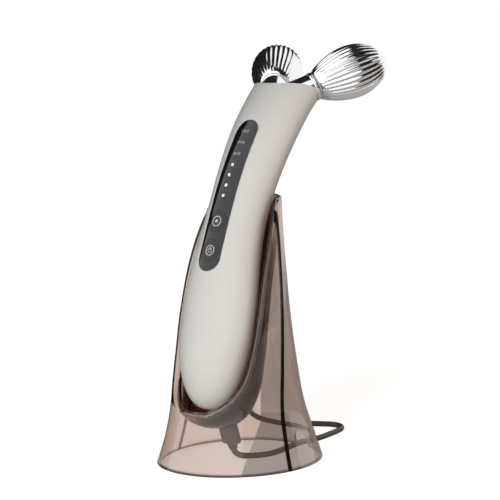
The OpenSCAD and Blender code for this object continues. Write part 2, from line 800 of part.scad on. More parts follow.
// Tube swept along a list of points
function unit(v) = v / norm(v);
function along(path, i) =
    unit(path[min(len(path) - 1, i + 1)] - path[max(0, i - 1)]);
module swept_tube(path, d) {
    n = len(path);
    rings = [
        for (i = [0 : n - 1])
            let (
                t = along(path, i),
                side = unit(cross(t, abs(t[2]) > 0.9 ? [0, 1, 0] : [0, 0, 1])),
                up = cross(side, t)
            )
            [for (j = [0 : cable_sides - 1]) let (a = 360 * (j + 0.5) / cable_sides)
                path[i] + d / 2 / cos(180 / cable_sides) * (side * cos(a) - up * sin(a))]
    ];
    polyhedron(
        points = flat(rings),
        faces = concat(
            [[for (j = [0 : cable_sides - 1]) j]],
            flat([for (i = [0 : n - 2]) for (j = [0 : cable_sides - 1])
                let (k = (j + 1) % cable_sides, a = i * cable_sides + j, b = i * cable_sides + k,
                    c = a + cable_sides, e = b + cable_sides)
                [[a, e, b], [a, c, e]]]),
            [[for (j = [cable_sides - 1 : -1 : 0]) (n - 1) * cable_sides + j]]),
        convexity = 8);
}
// Points of a smooth route through the knots, a ring every step or so
function smooth_route(k, per) = [
    for (i = [0 : (len(k) - 1) * per]) curve(k, i / ((len(k) - 1) * per))
];
module charging_cable() color(cable_grey) {
    swept_tube(smooth_route(concat([cable_start], cable_route), 3), cable_d);
}

// Coil of the spare length: rings side by side and in layers, held by a tie
coil_p = [-115, 85];
coil_r = 18;
coil_across = 2;
coil_layers = 3;
tie_t = 0.8;
tie_w = 6;
tie_room = 0.5;
tie_turn = 315;
coil_w = coil_across * cable_d;
coil_h = coil_layers * cable_d;
module cable_coil() color(cable_grey) {
    translate([coil_p[0], coil_p[1], tie_t]) rotate_extrude($fn = 96)
        translate([coil_r - coil_w / 2, 0]) square([coil_w, coil_h]);
}
module cable_tie() color([0.12, 0.12, 0.12]) {
    w = coil_w + 2 * tie_room;
    translate([coil_p[0], coil_p[1], 0]) rotate([0, 0, tie_turn])
        translate([coil_r - w / 2, -tie_w / 2, 0]) difference() {
            translate([-tie_t, 0, 0]) cube([w + 2 * tie_t, tie_w, coil_h + 2 * tie_t]);
            translate([0, -1, tie_t]) cube([w, tie_w + 2, coil_h]);
        }
}

// The cable's tail climbs a third of a turn over the coil and ends in the plug that lies on it
usb_grip = [12.4, 7.2, 19];
usb_tip = [12, 4.5, 12];
usb_wall = 0.4;
tail_turn = [110, 240];
tail_steps = 16;
coil_top = tie_t + coil_h;
usb_z = coil_top + fit_gap + usb_grip[1] / 2;
tail_low = coil_top + cable_d / 2;
function tail_point(i) = let (a = tail_turn[0] + (tail_turn[1] - tail_turn[0]) * i / tail_steps)
    [coil_p[0] + coil_r * cos(a), coil_p[1] + coil_r * sin(a),
        tail_low + (usb_z - tail_low) * ease(i / tail_steps)];
module at_usb(forward = 0) {
    p = tail_point(tail_steps);
    translate(p) rotate([0, 0, tail_turn[1]]) translate([0, forward, 0]) children();
}
module cable_tail() color(cable_grey) {
    swept_tube([for (i = [0 : tail_steps]) tail_point(i)], cable_d);
}
module usb_plug() color(cable_grey) {
    at_usb(0) rotate([-90, 0, 0]) slot_prism([usb_grip[0], usb_grip[1]], usb_grip[2]);
}
module usb_shell() color(steel) {
    at_usb(usb_grip[2]) difference() {
        translate([-usb_tip[0] / 2, 0, -usb_tip[1] / 2])
            cube([usb_tip[0], usb_tip[2], usb_tip[1]]);
        translate([usb_wall - usb_tip[0] / 2, 1, 0])
            cube([usb_tip[0] - 2 * usb_wall, usb_tip[2], usb_tip[1] / 2 - usb_wall]);
    }
}

// Head: a block inside the shells carries both axles, and a chrome cap closes the arch
axle_from = 6;
block_r = 6;
block_to = 17;
axle_to = neck_reach + 34;
clip_at = neck_reach + 9;
clip_t = 0.8;
groove_d = axle_d - 1.2;
spring_t = 0.5;
collar_len = 2.6;
collar_r = neck_r + 0.4;
collar_room = 0.6;
boss_r = neck_r - 0.2;
boss_from = 8;
cap_t = 2.6;
cap_inset = 0.5;
module handle_solid(inset, from, to, rows = 12, cols = 40) {
    rings = [for (i = [0 : rows]) let (s = from + (to - from) * i / rows)
        [for (j = [0 : cols - 1]) handle_point(s, 360 * (j + 0.5) / cols, inset)]];
    c = spine(from);
    thick_body([0, c[0], c[1]], rings);
}
block_bar = [60, 8, 16];
bar_in = 14;
module head_block() color([0.25, 0.25, 0.27]) {
    difference() {
        intersection() {
            union() {
                for (side = [-1, 1])
                    at_roller(side, 2) cylinder(r = block_r, h = block_to - 2, $fn = 48);
                translate(cross_p) rotate([-lean(cross_at), 0, 0])
                    translate([-block_bar[0] / 2, -block_bar[1] / 2, -bar_in]) cube(block_bar);
            }
            handle_solid(shell_wall - grip_fit, cross_at - 30, body_len - 1);
            crown(crown_r - 1);
        }
        for (side = [-1, 1])
            at_roller(side, axle_from - spring_t) cylinder(d = axle_d, h = 40, $fn = 48);
    }
}
module head_cap() color(chrome) {
    difference() {
        union() {
            intersection() {
                handle_solid(cap_inset, cross_at - 30, body_len - 1);
                crown(crown_r + cap_t);
            }
            for (side = [-1, 1])
                at_roller(side, boss_from)
                    cylinder(r = boss_r, h = neck_reach - collar_len - boss_from, $fn = 64);
        }
        crown(crown_r);
        collar_rooms();
        for (side = [-1, 1])
            at_roller(side, 0) cylinder(d = axle_d + fit_gap, h = 60, $fn = 48);
    }
}
// Room for the collars and the rollers' necks, cut from everything that would reach into it
module collar_rooms() {
    for (side = [-1, 1])
        at_roller(side, neck_reach - collar_len) cylinder(r = collar_r + collar_room, h = 30,
            $fn = 64);
}
module axle(side) color(steel) {
    at_roller(side, axle_from) difference() {
        cylinder(d = axle_d, h = axle_to - axle_from, $fn = 48);
        translate([0, 0, clip_at - axle_from]) difference() {
            cylinder(d = axle_d + 2, h = clip_t, $fn = 48);
            translate([0, 0, -1]) cylinder(d = groove_d, h = clip_t + 2, $fn = 48);
        }
    }
}
module left_axle() axle(-1);
module right_axle() axle(1);
module axle_clips() color(steel * 0.8) {
    for (side = [-1, 1]) at_roller(side, clip_at) difference() {
        cylinder(r = bush_r - 0.5, h = clip_t, $fn = 48);
        translate([0, 0, -1]) cylinder(d = groove_d, h = clip_t + 2, $fn = 48);
    }
}
module contact_springs() color([0.85, 0.65, 0.3]) {
    for (side = [-1, 1])
        at_roller(side, axle_from - spring_t) cylinder(d = axle_d - 0.6, h = spring_t, $fn = 32);
}
module collar(side) color(chrome) {
    at_roller(side, neck_reach - collar_len) difference() {
        cylinder(r = collar_r, h = collar_len, $fn = 64);
        translate([0, 0, -1]) cylinder(d = axle_d + fit_gap, h = collar_len + 2, $fn = 48);
    }
}
module left_collar() collar(-1);
module right_collar() collar(1);

// Rollers: a thin tulip-shaped shell on a plastic core, which turns on two bushes
roller_gap = 0.4;
roller_max_at = 0.52;
roller_wall = 1.8;
core_r = neck_r - 1.6;
core_from = 0.3;
core_to = 0.895 * roller_len;
bush_r = axle_d / 2 + 2;
neck_bush_len = 7;
tip_bush_len = 6;
bore_end = axle_to + 0.5;
profile_steps = 22;
function roller_radius(t) =
    t < roller_max_at
        ? neck_r + (roller_r - neck_r) * pow(sin(90 * t / roller_max_at), 0.85)
        : roller_r * sqrt(max(0, 1 - pow((t - roller_max_at) / (1 - roller_max_at), 2)));
module roller_shell() {
    rotate_extrude($fn = 72) polygon(concat(
        [for (i = [0 : profile_steps]) let (t = sin(90 * i / profile_steps))
            [roller_radius(t), roller_len * t]],
        [for (i = [profile_steps : -1 : 0]) let (t = 0.9 * sin(90 * i / profile_steps))
            i == profile_steps ? [0, roller_len * t]
                : [max(core_r, roller_radius(t) - roller_wall), roller_len * t]]));
}
module roller_core() {
    difference() {
        translate([0, 0, core_from]) cylinder(r = core_r, h = core_to - core_from, $fn = 64);
        translate([0, 0, -1]) cylinder(r = bush_r, h = 1 + bore_end - neck_reach - roller_gap,
            $fn = 64);
    }
}
module roller_bushes() {
    tip_bush_at = axle_to - neck_reach - roller_gap - tip_bush_len - 0.5;
    for (bush = [[0.5, neck_bush_len], [tip_bush_at, tip_bush_len]])
        translate([0, 0, bush[0]]) difference() {
            cylinder(r = bush_r, h = bush[1], $fn = 64);
            translate([0, 0, -1]) cylinder(r = axle_d / 2 + run_gap, h = bush[1] + 2, $fn = 64);
        }
}
module left_roller() color(chrome) at_roller(-1, neck_reach + roller_gap) roller_shell();
module right_roller() color(chrome) at_roller(1, neck_reach + roller_gap) roller_shell();
module left_core() color([0.8, 0.8, 0.78]) at_roller(-1, neck_reach + roller_gap) roller_core();
module right_core() color([0.8, 0.8, 0.78]) at_roller(1, neck_reach + roller_gap) roller_core();
module left_bushes() color([0.75, 0.6, 0.35]) at_roller(-1, neck_reach + roller_gap)
    roller_bushes();
module right_bushes() color([0.75, 0.6, 0.35]) at_roller(1, neck_reach + roller_gap)
    roller_bushes();

stand_front();
stand_rear();
seam_strips();
cradle();
charging_plug();
plug_tip();
strain_relief();
charging_cable();
cable_coil();
cable_tie();
cable_tail();
usb_plug();
usb_shell();
front_shell();
rear_shell();
panel_rim();
panel_window();
level_lights();
mode_lights();
light_guides();
main_board();
button_switches();
pulse_transformer();
board_carrier();
battery_cell();
battery_tray();
charge_board();
charge_socket();
case_screws();
head_block();
head_cap();
contact_springs();
left_axle();
right_axle();
axle_clips();
left_collar();
right_collar();
mode_button();
power_button();
left_roller();
left_core();
left_bushes();
right_roller();
right_core();
right_bushes();
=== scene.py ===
# Handheld body roller with two fluted metal rollers in its smoked charging stand.
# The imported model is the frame; every piece below is made in its place, in metres.
import bpy
import bmesh
import json
import math
from mathutils import Matrix, Vector
from mathutils.kdtree import KDTree


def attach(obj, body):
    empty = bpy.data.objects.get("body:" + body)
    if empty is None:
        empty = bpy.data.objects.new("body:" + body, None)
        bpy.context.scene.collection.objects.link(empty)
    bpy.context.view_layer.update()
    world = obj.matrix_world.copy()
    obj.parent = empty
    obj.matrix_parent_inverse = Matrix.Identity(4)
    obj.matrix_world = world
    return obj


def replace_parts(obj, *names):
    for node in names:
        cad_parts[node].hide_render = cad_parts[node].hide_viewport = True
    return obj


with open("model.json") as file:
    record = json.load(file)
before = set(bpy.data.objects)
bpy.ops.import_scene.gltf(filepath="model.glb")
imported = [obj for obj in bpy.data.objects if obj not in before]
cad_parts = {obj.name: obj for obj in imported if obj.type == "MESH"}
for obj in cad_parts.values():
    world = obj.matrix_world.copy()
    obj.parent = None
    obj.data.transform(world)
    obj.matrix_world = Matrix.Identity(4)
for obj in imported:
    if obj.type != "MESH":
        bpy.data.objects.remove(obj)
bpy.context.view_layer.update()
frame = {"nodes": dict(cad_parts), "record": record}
scene = bpy.context.scene
scene.view_settings.view_transform = "Standard"
MM = 0.001


# CAMERA
# The photograph was taken from the front right, a little above the rollers' height, with a
# long lens. The values come from a fit of the handle's and the stand's outlines.
def mm(x, y, z):
    return Vector((x, y, z)) * MM


camera = bpy.data.objects.new("camera", bpy.data.cameras.new("camera"))
camera.location = mm(650.41, -784.38, 232.5)
camera.rotation_mode = "QUATERNION"
camera.rotation_quaternion = (
    mm(4.40, -14.50, 126.9) - camera.location).to_track_quat("-Z", "Y")
camera.data.sensor_width = 36
camera.data.lens = 121.29
camera.data.clip_start = 0.05
camera.data.clip_end = 30
scene.collection.objects.link(camera)
scene.camera = camera


# CHARGING LEAD
# A soft dark jacket of 3.6 mm leaves the charging plug under the handle, runs out through the
# notch at the back of the foot, and its spare length lies coiled and tied behind the stand.
class Value:
    """A socket that takes part in arithmetic: each operator adds its Math node."""

    def __init__(self, finish, socket):
        self.finish, self.socket = finish, socket

    def math(self, operation, other):
        return self.finish.node("ShaderNodeMath", {"operation": operation}, self, other)

    def __add__(self, other):
        return self.math("ADD", other)

    def __mul__(self, other):
        return self.math("MULTIPLY", other)

    __radd__, __rmul__ = __add__, __mul__


class Finish:
    """A material with one Principled shader, which takes plain values and Value sockets."""

    def __init__(self, name, colour, rough, **more):
        self.material = bpy.data.materials.new(name)
        self.material.use_nodes = True
        self.tree = self.material.node_tree
        self.shader = self.tree.nodes["Principled BSDF"]
        self.output = self.tree.nodes["Material Output"]
        self.set(**{"Base Color": colour, "Roughness": rough}, **more)

    def put(self, socket, value):
        if isinstance(value, Value):
            self.tree.links.new(value.socket, socket)
        elif socket.type == "RGBA":
            socket.default_value = (*value[:3], 1)
        else:
            socket.default_value = value

    def set(self, **values):
        for name, value in values.items():
            self.put(self.shader.inputs[name.replace("_", " ")], value)

    def node(self, kind, settings, *values, out=0, **named):
        made = self.tree.nodes.new(kind)
        for name, value in settings.items():
            setattr(made, name, value)
        for socket, value in zip([s for s in made.inputs if s.enabled], values):
            if value is not None:
                self.put(socket, value)
        for name, value in named.items():
            self.put(made.inputs[name.replace("_", " ")], value)
        return Value(self, made.outputs[out])

    def noise(self, scale, detail=2.0):
        """Soft clouds of about 1 / scale metres on the part's own coordinates."""
        where = self.node("ShaderNodeTexCoord", {}, out="Object")
        return self.node("ShaderNodeTexNoise", {}, Vector=where, Scale=scale, Detail=detail)

    def mix(self, share, first, second):
        """first where share is 0 and second where it is 1, as a colour."""
        return self.node("ShaderNodeMix", {"data_type": "RGBA"}, share, first, second, out=2)

    def bump(self, height, depth):
        """A height of 1 stands depth metres proud."""
        self.set(Normal=self.node(
            "ShaderNodeBump", {}, Strength=1.0, Distance=depth, Height=height))


def piece(name, mesh_of, finish, body, smooth=40):
    """An object whose mesh comes from a bmesh or a mesh, with its finish and body."""
    if isinstance(mesh_of, bmesh.types.BMesh):
        mesh = bpy.data.meshes.new(name)
        mesh_of.to_mesh(mesh)
        mesh_of.free()
    else:
        mesh = mesh_of
    made = bpy.data.objects.new(name, mesh)
    scene.collection.objects.link(made)
    if isinstance(mesh, bpy.types.Mesh):
        mesh.shade_smooth()
        if smooth < 180:
            mesh.set_sharp_from_angle(angle=math.radians(smooth))
    mesh.materials.append(finish.material)
    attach(made, body)
    return made


def jacket_finish(name, colour):
    """Soft dull jacket, a little cloudy, with a fine grain."""
    f = Finish(name, colour, 0.5)
    cloud = f.noise(260, 3)
    f.set(Base_Color=f.mix(cloud, [c * 0.86 for c in colour], [c * 1.12 for c in colour]),
          Roughness=0.42 + 0.14 * cloud)
    f.bump(f.noise(2400), 0.00003)
    return f


LEAD_D = 3.6
COIL_P = (-115, 85)
COIL_R = 18
COIL_FROM, COIL_STEP, COIL_KNOTS = 75, 15, 132
TIE_T = 0.8
lead_route = [
    (0, -24.65, 6.9), (0.1, -23.4, 4.5), (0.9, -21.5, 2.9), (2.6, -19.4, 2), (5.2, -17, 1.8),
    (8, -13.8, 1.8), (10.4, -9.4, 1.8), (11.8, -3.4, 1.8), (12.2, 4, 2.2), (11.8, 13, 2.8),
    (10.8, 23, 3.2), (9.4, 33, 3), (8.2, 43, 2.2), (7, 53, 1.8), (5.4, 64, 1.8),
    (3.4, 74.5, 1.8), (0.6, 82.8, 1.8), (-4.4, 88, 1.8), (-10.8, 88.9, 1.8), (-17, 86, 1.8),
    (-25, 80.8, 1.8), (-35, 76.6, 1.8), (-46.5, 74.6, 1.8), (-58.5, 75.8, 1.8),
    (-70.5, 81, 1.8), (-82, 90, 1.8), (-92, 98.6, 2), (-101, 103.2, 2.3)]


def ease(t):
    t = min(1.0, max(0.0, t))
    return (1 - math.cos(math.pi * t)) / 2


# Turns of the coil as [angle where a change is over, radius, height], outer turn first
lane_out, lane_in = COIL_R + LEAD_D / 2, COIL_R - LEAD_D / 2
layers = [TIE_T + LEAD_D * (k + 0.5) for k in range(3)]
turns = [(COIL_FROM, lane_out, layers[0]), (380, lane_out, layers[0]), (430, lane_in, layers[0]),
         (700, lane_in, layers[0]), (745, lane_in, layers[1]), (1010, lane_in, layers[1]),
         (1060, lane_out, layers[1]), (1330, lane_out, layers[1]), (1375, lane_out, layers[2]),
         (1640, lane_out, layers[2]), (1690, lane_in, layers[2]), (1775, lane_in, layers[2]),
         (1820, lane_in, 13.4), (1910, COIL_R, 13.4), (2040, COIL_R, 15.3)]


def coil_point(angle):
    """Point of the coil's centre line at an angle counted on over all its turns."""
    k = max(i for i in range(len(turns) - 1) if turns[i][0] <= angle)
    a, b = turns[k], turns[k + 1]
    t = ease((angle - a[0]) / (b[0] - a[0]))
    r, z = a[1] + (b[1] - a[1]) * t, a[2] + (b[2] - a[2]) * t
    return (COIL_P[0] + r * math.cos(math.radians(angle)),
            COIL_P[1] + r * math.sin(math.radians(angle)), z)


coil_line = [coil_point(COIL_FROM + COIL_STEP * i) for i in range(COIL_KNOTS)]
lead_points = [mm(*p) for p in lead_route + coil_line]
lead_curve = bpy.data.curves.new("charging_lead", "CURVE")
lead_curve.dimensions = "3D"
lead_curve.bevel_depth = LEAD_D / 2 * MM
lead_curve.bevel_resolution = 5
lead_curve.resolution_u = 5
lead_curve.use_fill_caps = True
spline = lead_curve.splines.new("BEZIER")
spline.bezier_points.add(len(lead_points) - 1)
for knot, point in zip(spline.bezier_points, lead_points):
    knot.co = point
    knot.handle_left_type = knot.handle_right_type = "AUTO"
jacket = jacket_finish("lead_jacket", (0.088, 0.074, 0.070))
lead = piece("charging_lead", lead_curve, jacket, "stand")
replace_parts(lead, "charging_cable", "cable_coil", "cable_tail")


# STUDIO
# White floor and backdrop for the camera. A soft lamp stands a little left of the camera and a
# warm one on the right. Polished pieces mirror a dark room with two white screens, a black card
# and a black cloth. A grey sheet, seen only through the clear plastic, is painted shade on the
# floor under the stand.
def by_ray(tree, shaders):
    """Chain of Light Path switches: {"": shader, "Is Camera Ray": shader, ...}."""
    rays = tree.nodes.new("ShaderNodeLightPath")
    chosen = shaders[""]
    for ray, shader in shaders.items():
        if ray:
            mix = tree.nodes.new("ShaderNodeMixShader")
            tree.links.new(rays.outputs[ray], mix.inputs[0])
            tree.links.new(chosen, mix.inputs[1])
            tree.links.new(shader, mix.inputs[2])
            chosen = mix.outputs[0]
    return chosen


def glow(tree, kind, colour, strength):
    """Shader of a plain light of its own, an emission or a background."""
    made = tree.nodes.new(kind)
    made.inputs["Color"].default_value = (*colour, 1)
    made.inputs["Strength"].default_value = strength
    return made.outputs[0]


world = bpy.data.worlds.new("white_room")
world.use_nodes = True
scene.world = world
sky = world.node_tree
sky.links.new(by_ray(sky, {
    "": glow(sky, "ShaderNodeBackground", (1, 0.97, 0.93), 0.07),
    "Is Glossy Ray": glow(sky, "ShaderNodeBackground", (1, 1, 1), 0.015),
    "Is Transmission Ray": glow(sky, "ShaderNodeBackground", (1, 1, 1), 1.0),
    "Is Camera Ray": glow(sky, "ShaderNodeBackground", (1, 1, 1), 1.0),
}), sky.nodes["World Output"].inputs["Surface"])


def stage_mesh(name, shape, seen_by=None):
    """A stage piece; seen_by names the only kinds of ray that meet it, and None is all."""
    mesh = bpy.data.meshes.new(name)
    shape.to_mesh(mesh)
    shape.free()
    made = bpy.data.objects.new(name, mesh)
    scene.collection.objects.link(made)
    if seen_by is not None:
        for ray in ("camera", "diffuse", "glossy", "transmission", "volume_scatter", "shadow"):
            setattr(made, "visible_" + ray, ray in seen_by)
    material = bpy.data.materials.new(name)
    material.use_nodes = True
    material.node_tree.nodes.remove(material.node_tree.nodes["Principled BSDF"])
    mesh.materials.append(material)
    return material.node_tree


ground = bmesh.new()
bmesh.ops.create_grid(ground, x_segments=2, y_segments=2, size=3.0)
floor = stage_mesh("floor", ground)
paint = floor.nodes.new("ShaderNodeBsdfDiffuse")
paint.inputs["Color"].default_value = (0.80, 0.80, 0.80, 1)
spot = floor.nodes.new("ShaderNodeTexCoord")
oval = floor.nodes.new("ShaderNodeMapping")
oval.inputs["Location"].default_value = (0, 0.018, 0)
oval.inputs["Scale"].default_value = (1.18, 1, 1)
reach = floor.nodes.new("ShaderNodeVectorMath")
reach.operation = "LENGTH"
floor.links.new(spot.outputs["Object"], oval.inputs["Vector"])
floor.links.new(oval.outputs["Vector"], reach.inputs[0])


def lit_floor(near, far, start=0.25, end=0.9):
    """The floor's paint with light of its own, which keeps the shadows: its strength is near
    up to start metres from the middle, and far from end metres on."""
    both = floor.nodes.new("ShaderNodeAddShader")
    light = glow(floor, "ShaderNodeEmission", (1, 1, 1), near)
    fade = floor.nodes.new("ShaderNodeMapRange")
    for socket, value in zip(fade.inputs[1:], (start, end, near, far)):
        socket.default_value = value
    floor.links.new(reach.outputs["Value"], fade.inputs["Value"])
    floor.links.new(fade.outputs["Result"], light.node.inputs["Strength"])
    floor.links.new(paint.outputs[0], both.inputs[0])
    floor.links.new(light, both.inputs[1])
    return both.outputs[0]


floor.links.new(by_ray(floor, {
    "": paint.outputs[0],
    "Is Glossy Ray": lit_floor(0.12, 0.25),
    # Seen through the clear plastic the floor is darker inside the stand's foot, as painted
    # shade
    "Is Transmission Ray": lit_floor(0.42, 0.85, 0.053, 0.060),
    "Is Camera Ray": lit_floor(0.86, 1.0),
}), floor.nodes["Material Output"].inputs["Surface"])

# Grey sheet on the right of the floor, seen only through the clear plastic, as painted shade on
# the floor under the stand: its corners in millimetres by their place on the grid
cloth = bmesh.new()
bmesh.ops.create_grid(cloth, x_segments=1, y_segments=2, size=1)
FLOOR_SHADE_CORNERS = {(-1, -1): (56, -90), (-1, 0): (-61, 76), (-1, 1): (-1290, 1620),
         (1, -1): (400, -90), (1, 0): (700, 300), (1, 1): (800, 2600)}
for vert in cloth.verts:
    x, y = FLOOR_SHADE_CORNERS[round(vert.co.x), round(vert.co.y)]
    vert.co = mm(x, y, 0.3)


def light_up(name, shape, seen_by, colour, strength):
    """A stage piece that gives off its own plain light to one kind of ray."""
    tree = stage_mesh(name, shape, (seen_by,))
    tree.links.new(glow(tree, "ShaderNodeEmission", colour, strength),
                   tree.nodes["Material Output"].inputs["Surface"])


# Painted shade: a dim grey light, seen only through the clear plastic, in place of the bright
# floor
light_up("painted_floor_shade", cloth, "transmission", (1, 0.97, 0.95), 0.46)
WHITE = (1, 1, 1)


def screen(name, first, last, radius, high, strength):
    """Upright curved screen round the object, between two bearings from the front."""
    sheet = bmesh.new()
    bmesh.ops.create_grid(sheet, x_segments=24, y_segments=1, size=1)
    for vert in sheet.verts:
        turn = math.radians(first + (last - first) * (vert.co.x + 1) / 2)
        vert.co = Vector((radius * math.sin(turn), -radius * math.cos(turn),
                          high * (vert.co.y + 1) / 2))
    light_up(name, sheet, "glossy", WHITE, strength)


screen("front_screen", -72, 62, 1.5, 4.6, 1.2)
screen("rear_screen", 140, 205, 1.5, 4.0, 1.0)


def flag(name, first, last, high):
    """Black card that stands on the floor from one place (x, y) to another."""
    card = bmesh.new()
    bmesh.ops.create_grid(card, x_segments=1, y_segments=1, size=1)
    for vert in card.verts:
        x, y = last if vert.co.x > 0 else first
        vert.co = mm(x, y, high if vert.co.y > 0 else 0)
    light_up(name, card, "glossy", WHITE, 0.01)


flag("left_flag", (-272, 210), (-900, -300), 900)

# Black cloth on the left of the floor, square to the camera, which only polished surfaces
# mirror: side and back are counted from the stand to the camera's right and away from it
dark = bmesh.new()
bmesh.ops.create_grid(dark, x_segments=1, y_segments=1, size=1)
for vert in dark.verts:
    side, back = (-60 if vert.co.x > 0 else -2000), (1500 if vert.co.y > 0 else -700)
    vert.co = mm(0.77 * side - 0.64 * back, 0.64 * side + 0.77 * back - 18, 0.4)
light_up("black_cloth", dark, "glossy", WHITE, 0.03)


def lamp(name, where, size, power, colour):
    """Soft rectangular lamp, turned to the object, that no ray from the camera meets."""
    light = bpy.data.lights.new(name, "AREA")
    light.shape = "RECTANGLE"
    light.size, light.size_y = size
    light.energy = power
    light.color = colour
    made = bpy.data.objects.new(name, light)
    made.location = where
    made.rotation_mode = "QUATERNION"
    made.rotation_quaternion = (Vector((0, 0, 0.14)) - made.location).to_track_quat("-Z", "Y")
    scene.collection.objects.link(made)
    made.visible_camera = False
    made.visible_glossy = False
    made.visible_transmission = False


lamp("key_lamp", Vector((0.44, -1.23, 0.34)), (0.4, 0.4), 14.4, (1, 0.998, 0.992))
lamp("side_lamp", Vector((1.2, 0.45, 0.4)), (0.6, 0.9), 4.6, (1, 0.80, 0.64))


# HANDLE SHELLS
# Two moulded half shells with a satin champagne lacquer over a fine metallic base. They meet
# in a hairline joint along both sides and end at the head in an arch. Sizes are in millimetres,
# s runs up the handle's bent centre line from the foot, and LEAN is its lean at both ends.
BODY_LEN = 232.0
BEND_LEN = 215.0
LEAN = (9.0, 50.0)
STAND_Y = -18.2
STEP = 0.5
SHELL_WALL = 2.2


def lean(s):
    return math.radians(LEAN[0] + (LEAN[1] - LEAN[0]) * (max(0, s) / BEND_LEN) ** 2)


spine_line = [(STAND_Y - 29.5, 34.0)]
while len(spine_line) <= BODY_LEN / STEP:
    middle = (len(spine_line) - 0.5) * STEP
    spine_line.append((spine_line[-1][0] + STEP * math.sin(lean(middle)),
                       spine_line[-1][1] + STEP * math.cos(lean(middle))))


def spine(s):
    """The centre line's y and z at s."""
    u = min(len(spine_line) - 1.001, max(0, s / STEP))
    i = int(u)
    return [spine_line[i][k] + (u - i) * (spine_line[i + 1][k] - spine_line[i][k])
            for k in (0, 1)]


def blend(stations, s, k):
    """Value k of the stations at s, with a smooth change from one station to the next."""
    for a, b in zip(stations, stations[1:]):
        if s < b[0] or b is stations[-1]:
            return a[k] + (b[k] - a[k]) * ease((s - a[0]) / (b[0] - a[0]))


# The handle's section as (s, half width, half depth)
grip_sizes = [(24, 22.3, 20.8), (58, 24, 18.5), (122, 19, 16.5), (184, 22.4, 15.2),
              (BODY_LEN, 22.4, 16.2)]
DOME_LEN, DOME_POWER = 48.0, 2.2


def grip_point(s, angle, inset=0.0):
    """Point of the handle's surface in millimetres: angle 0 is the front, 90 the right side."""
    t = min(1.0, max(0.0, (s - inset) / (DOME_LEN - inset)))
    dome = (1 - (1 - t) ** DOME_POWER) ** (1 / DOME_POWER)
    y, z = spine(s)
    side = (blend(grip_sizes, s, 1) - inset) * dome * math.sin(math.radians(angle))
    front = (blend(grip_sizes, s, 2) - inset) * dome * math.cos(math.radians(angle))
    return Vector((side, y - front * math.cos(lean(s)), z + front * math.sin(lean(s))))


# The axles' lines cross at CROSS, and the head's arch is round ARCH
CROSS = Vector((0, 11.5711, 214.254))
ARCH = Vector((0, 11.5711, 189.954))
ARCH_R = 36.6
ROLLER_TILT, ROLLER_SPREAD = 65, 33
COLLAR_FROM = 26.4


def arch_end(angle, radius, inset=0.0):
    """Where the surface at that angle meets the arch of the head, along the centre line."""
    low, high = 150.0, BODY_LEN
    for _ in range(40):
        s = (low + high) / 2
        p = grip_point(s, angle, inset)
        if p.z > ARCH.z and math.hypot(p.y - ARCH.y, p.z - ARCH.z) > radius:
            high = s
        else:
            low = s
    return low


def bake_modifiers(made):
    """The piece with its modifiers applied, so that the next step cuts the finished mesh."""
    bpy.context.view_layer.update()
    done = bpy.data.meshes.new_from_object(
        made.evaluated_get(bpy.context.evaluated_depsgraph_get()))
    made.modifiers.clear()
    made.data = done
    return made


def cut(made, *cutters):
    """Takes each cutter out of the piece, and the cutters out of the scene."""
    for cutter in cutters:
        step = made.modifiers.new("cut", "BOOLEAN")
        step.object = cutter
        step.operation = "DIFFERENCE"
        step.solver = "EXACT"
    bake_modifiers(made)
    for cutter in cutters:
        bpy.data.objects.remove(cutter)
    made.data.shade_smooth()
    made.data.set_sharp_from_angle(angle=math.radians(35))
    return made


def tool(shape):
    """A cutter: an object that only lasts until its cut is made."""
    mesh = bpy.data.meshes.new("tool")
    shape.to_mesh(mesh)
    shape.free()
    made = bpy.data.objects.new("tool", mesh)
    scene.collection.objects.link(made)
    return made


def at_roller(side, along=0.0):
    """Place of a roller's own frame: its Z axis runs out along the axle."""
    return (Matrix.Translation(CROSS * MM)
            @ Matrix.Rotation(math.radians(-ROLLER_TILT), 4, "X")
            @ Matrix.Rotation(math.radians(ROLLER_SPREAD * side), 4, "Y")
            @ Matrix.Translation(Vector((0, 0, along * MM))))


def post(radius, low, high, place):
    """Round bar between two heights of a placed frame."""
    bar = bmesh.new()
    bmesh.ops.create_cone(bar, cap_ends=True, segments=96, radius1=radius * MM,
                          radius2=radius * MM, depth=(high - low) * MM)
    bmesh.ops.translate(bar, verts=bar.verts, vec=(0, 0, (high + low) / 2 * MM))
    bmesh.ops.transform(bar, matrix=place, verts=bar.verts)
    return bar


def collar_holes(radius, low):
    """Cutters that make room for the two collars, from low above the axles' crossing."""
    return [tool(post(radius, low, 40, at_roller(side))) for side in (-1, 1)]


# The panel's middle, and its own directions up along the handle and out of it
PANEL_AT, PANEL_LEN, PANEL_W = 126.0, 98.0, 17.5
panel_p = grip_point(PANEL_AT, 0)
panel_up = Vector((0, math.sin(lean(PANEL_AT)), math.cos(lean(PANEL_AT))))
panel_out = Vector((0, -math.cos(lean(PANEL_AT)), math.sin(lean(PANEL_AT))))


def on_panel(x, y, lift=0.0):
    """Point of the handle's front over the place (x, y) of the panel, lift above it."""
    low, high = PANEL_AT - 75, PANEL_AT + 75
    for _ in range(36):
        s = (low + high) / 2
        half = blend(grip_sizes, s, 1)
        angle = math.degrees(math.asin(x / half))
        if (grip_point(s, angle) - panel_p).dot(panel_up) > y:
            high = s
        else:
            low = s
    return grip_point(s, angle, -lift) * MM


def stadium(shrink):
    """Outline of the panel as (x, y), shrunk on all sides, round both ends."""
    radius = PANEL_W / 2 - shrink
    reach = (PANEL_LEN - PANEL_W) / 2
    bends, runs = 40, 24
    line = []
    for end in (1, -1):
        for i in range(bends + 1):
            turn = math.radians(180 * i / bends)
            line.append((end * radius * math.cos(turn), end * (reach + radius * math.sin(turn))))
        line += [(-end * radius, end * reach * (1 - 2 * k / runs)) for k in range(1, runs)]
    return line


